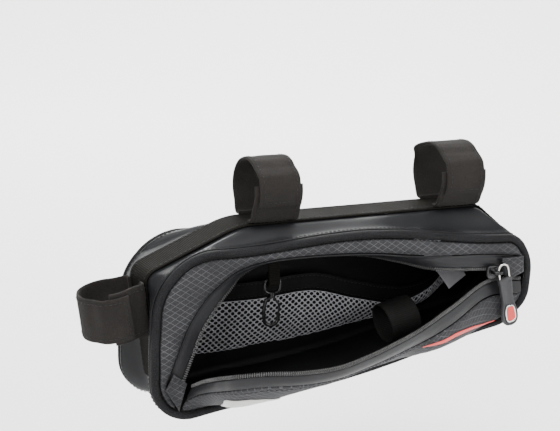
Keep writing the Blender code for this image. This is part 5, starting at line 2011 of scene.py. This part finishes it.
@dataclass
class Studio:
    """A plain pale floor that curves up behind the bag, soft lights and the camera."""

    floor_z: float = -0.215
    camera_at: tuple = (-0.5392, -0.9489, 0.2560)
    lens: float = 112.24
    azimuth: float = -27.0
    elevation: float = 14.5
    roll: float = -2.3

    def build(self) -> None:
        """Makes the stage, the lights and the camera."""
        self.floor()
        self.lights()
        self.camera()

    def floor(self) -> None:
        """The floor and its curved backdrop, in one sheet."""
        profile = [(-4.0, 0.0), (1.2, 0.0)]
        profile += [(1.2 + 0.8 * math.sin(a), 0.8 - 0.8 * math.cos(a))
                    for a in np.linspace(0.1, math.pi / 2, 12)]
        profile += [(2.0, 4.0)]
        turn = math.radians(self.azimuth)
        ahead = np.array([-math.sin(turn), math.cos(turn), 0.0])
        side = np.array([math.cos(turn), math.sin(turn), 0.0])
        points, faces = [], []
        for run, rise in profile:
            for wide in (-4.0, 4.0):
                points.append(ahead * run + side * wide + np.array([0.0, 0.0, self.floor_z + rise]))
        for row in range(len(profile) - 1):
            faces.append((2 * row, 2 * row + 1, 2 * row + 3, 2 * row + 2))
        mesh = bpy.data.meshes.new("floor")
        mesh.from_pydata([tuple(map(float, p)) for p in points], [], faces)
        mesh.shade_smooth()
        pale = bpy.data.materials.new("pale_floor")
        pale.use_nodes = True
        shader = pale.node_tree.nodes["Principled BSDF"]
        shader.inputs["Base Color"].default_value = (0.93, 0.93, 0.93, 1.0)
        shader.inputs["Roughness"].default_value = 0.85
        mesh.materials.append(pale)
        made = bpy.data.objects.new("floor", mesh)
        bpy.context.scene.collection.objects.link(made)

    def area(self, name: str, place: tuple, size: float, power: float) -> None:
        """One soft light, aimed at the bag.

        Args:
            name: The light's name.
            place: Where it hangs.
            size: How wide it is.
            power: Its power.
        """
        light = bpy.data.lights.new(name, "AREA")
        light.shape = "RECTANGLE"
        light.size, light.size_y, light.energy = size, size * 0.7, power
        made = bpy.data.objects.new(name, light)
        made.location = place
        made.rotation_mode = "QUATERNION"
        aim = Vector((-0.03, 0.0, -0.07)) - Vector(place)
        made.rotation_quaternion = aim.to_track_quat("-Z", "Y")
        bpy.context.scene.collection.objects.link(made)

    def wash(self, name: str, ahead: float, above: float, power: float) -> None:
        """A light that whitens the floor and the backdrop behind the bag.

        Args:
            name: The light's name.
            ahead: How far behind the bag it hangs.
            above: How high it hangs.
            power: Its power.
        """
        turn = math.radians(self.azimuth)
        light = bpy.data.lights.new(name, "AREA")
        light.shape = "RECTANGLE"
        light.size, light.size_y, light.energy = 2.6, 1.0, power
        made = bpy.data.objects.new(name, light)
        made.location = (-math.sin(turn) * ahead, math.cos(turn) * ahead, above)
        made.rotation_euler = (0.0, 0.0, turn)
        bpy.context.scene.collection.objects.link(made)

    def lights(self) -> None:
        """Two large lights above, one low fill from the zip side, and an even pale sky."""
        self.area("overhead", (-0.15, -0.25, 1.25), 1.3, 34.0)
        self.area("left_key", (-1.25, -0.95, 0.75), 1.0, 20.0)
        self.area("right_fill", (1.15, -1.05, 0.35), 1.1, 14.0)
        self.wash("backdrop_wash", 1.6, 1.5, 95.0)
        self.area("rear_rim", (0.35, 1.25, 0.75), 1.1, 12.0)
        world = bpy.data.worlds.new("sky")
        world.use_nodes = True
        sky = world.node_tree.nodes["Background"]
        sky.inputs["Color"].default_value = (1.0, 1.0, 1.0, 1.0)
        sky.inputs["Strength"].default_value = 0.55
        bpy.context.scene.world = world

    def camera(self) -> None:
        """The camera at the photograph's angle."""
        a, e, r = (math.radians(v) for v in (self.azimuth, self.elevation, self.roll))
        back = Vector((math.sin(a) * math.cos(e), -math.cos(a) * math.cos(e), math.sin(e)))
        right = Vector((math.cos(a), math.sin(a), 0.0))
        up = back.cross(right)
        across = right * math.cos(r) - up * math.sin(r)
        above = right * math.sin(r) + up * math.cos(r)
        data = bpy.data.cameras.new("camera")
        data.lens = self.lens
        data.sensor_width = 36.0
        data.clip_start, data.clip_end = 0.05, 30.0
        made = bpy.data.objects.new("camera", data)
        turn = Matrix((across, above, back)).transposed()
        made.matrix_world = Matrix.Translation(self.camera_at) @ turn.to_4x4()
        bpy.context.scene.collection.objects.link(made)
        bpy.context.scene.camera = made


def main() -> None:
    """Builds the bag's sub-assemblies in order, then the studio."""
    logging.basicConfig(level=logging.INFO, format="%(message)s")
    for leftover in [o for o in bpy.data.objects if o.type in ("LIGHT", "CAMERA") or o.name == "Cube"]:
        bpy.data.objects.remove(leftover)
    bpy.context.view_layer.update()
    form = Form()
    Studio().build()
    Body(form).build()
    OpenFace(form).build()
    Lip(form).build()
    ZipPull(form).build()
    Inside(form).build()
    build_loops(form)
    bpy.context.view_layer.update()


if __name__ == "__main__":
    main()
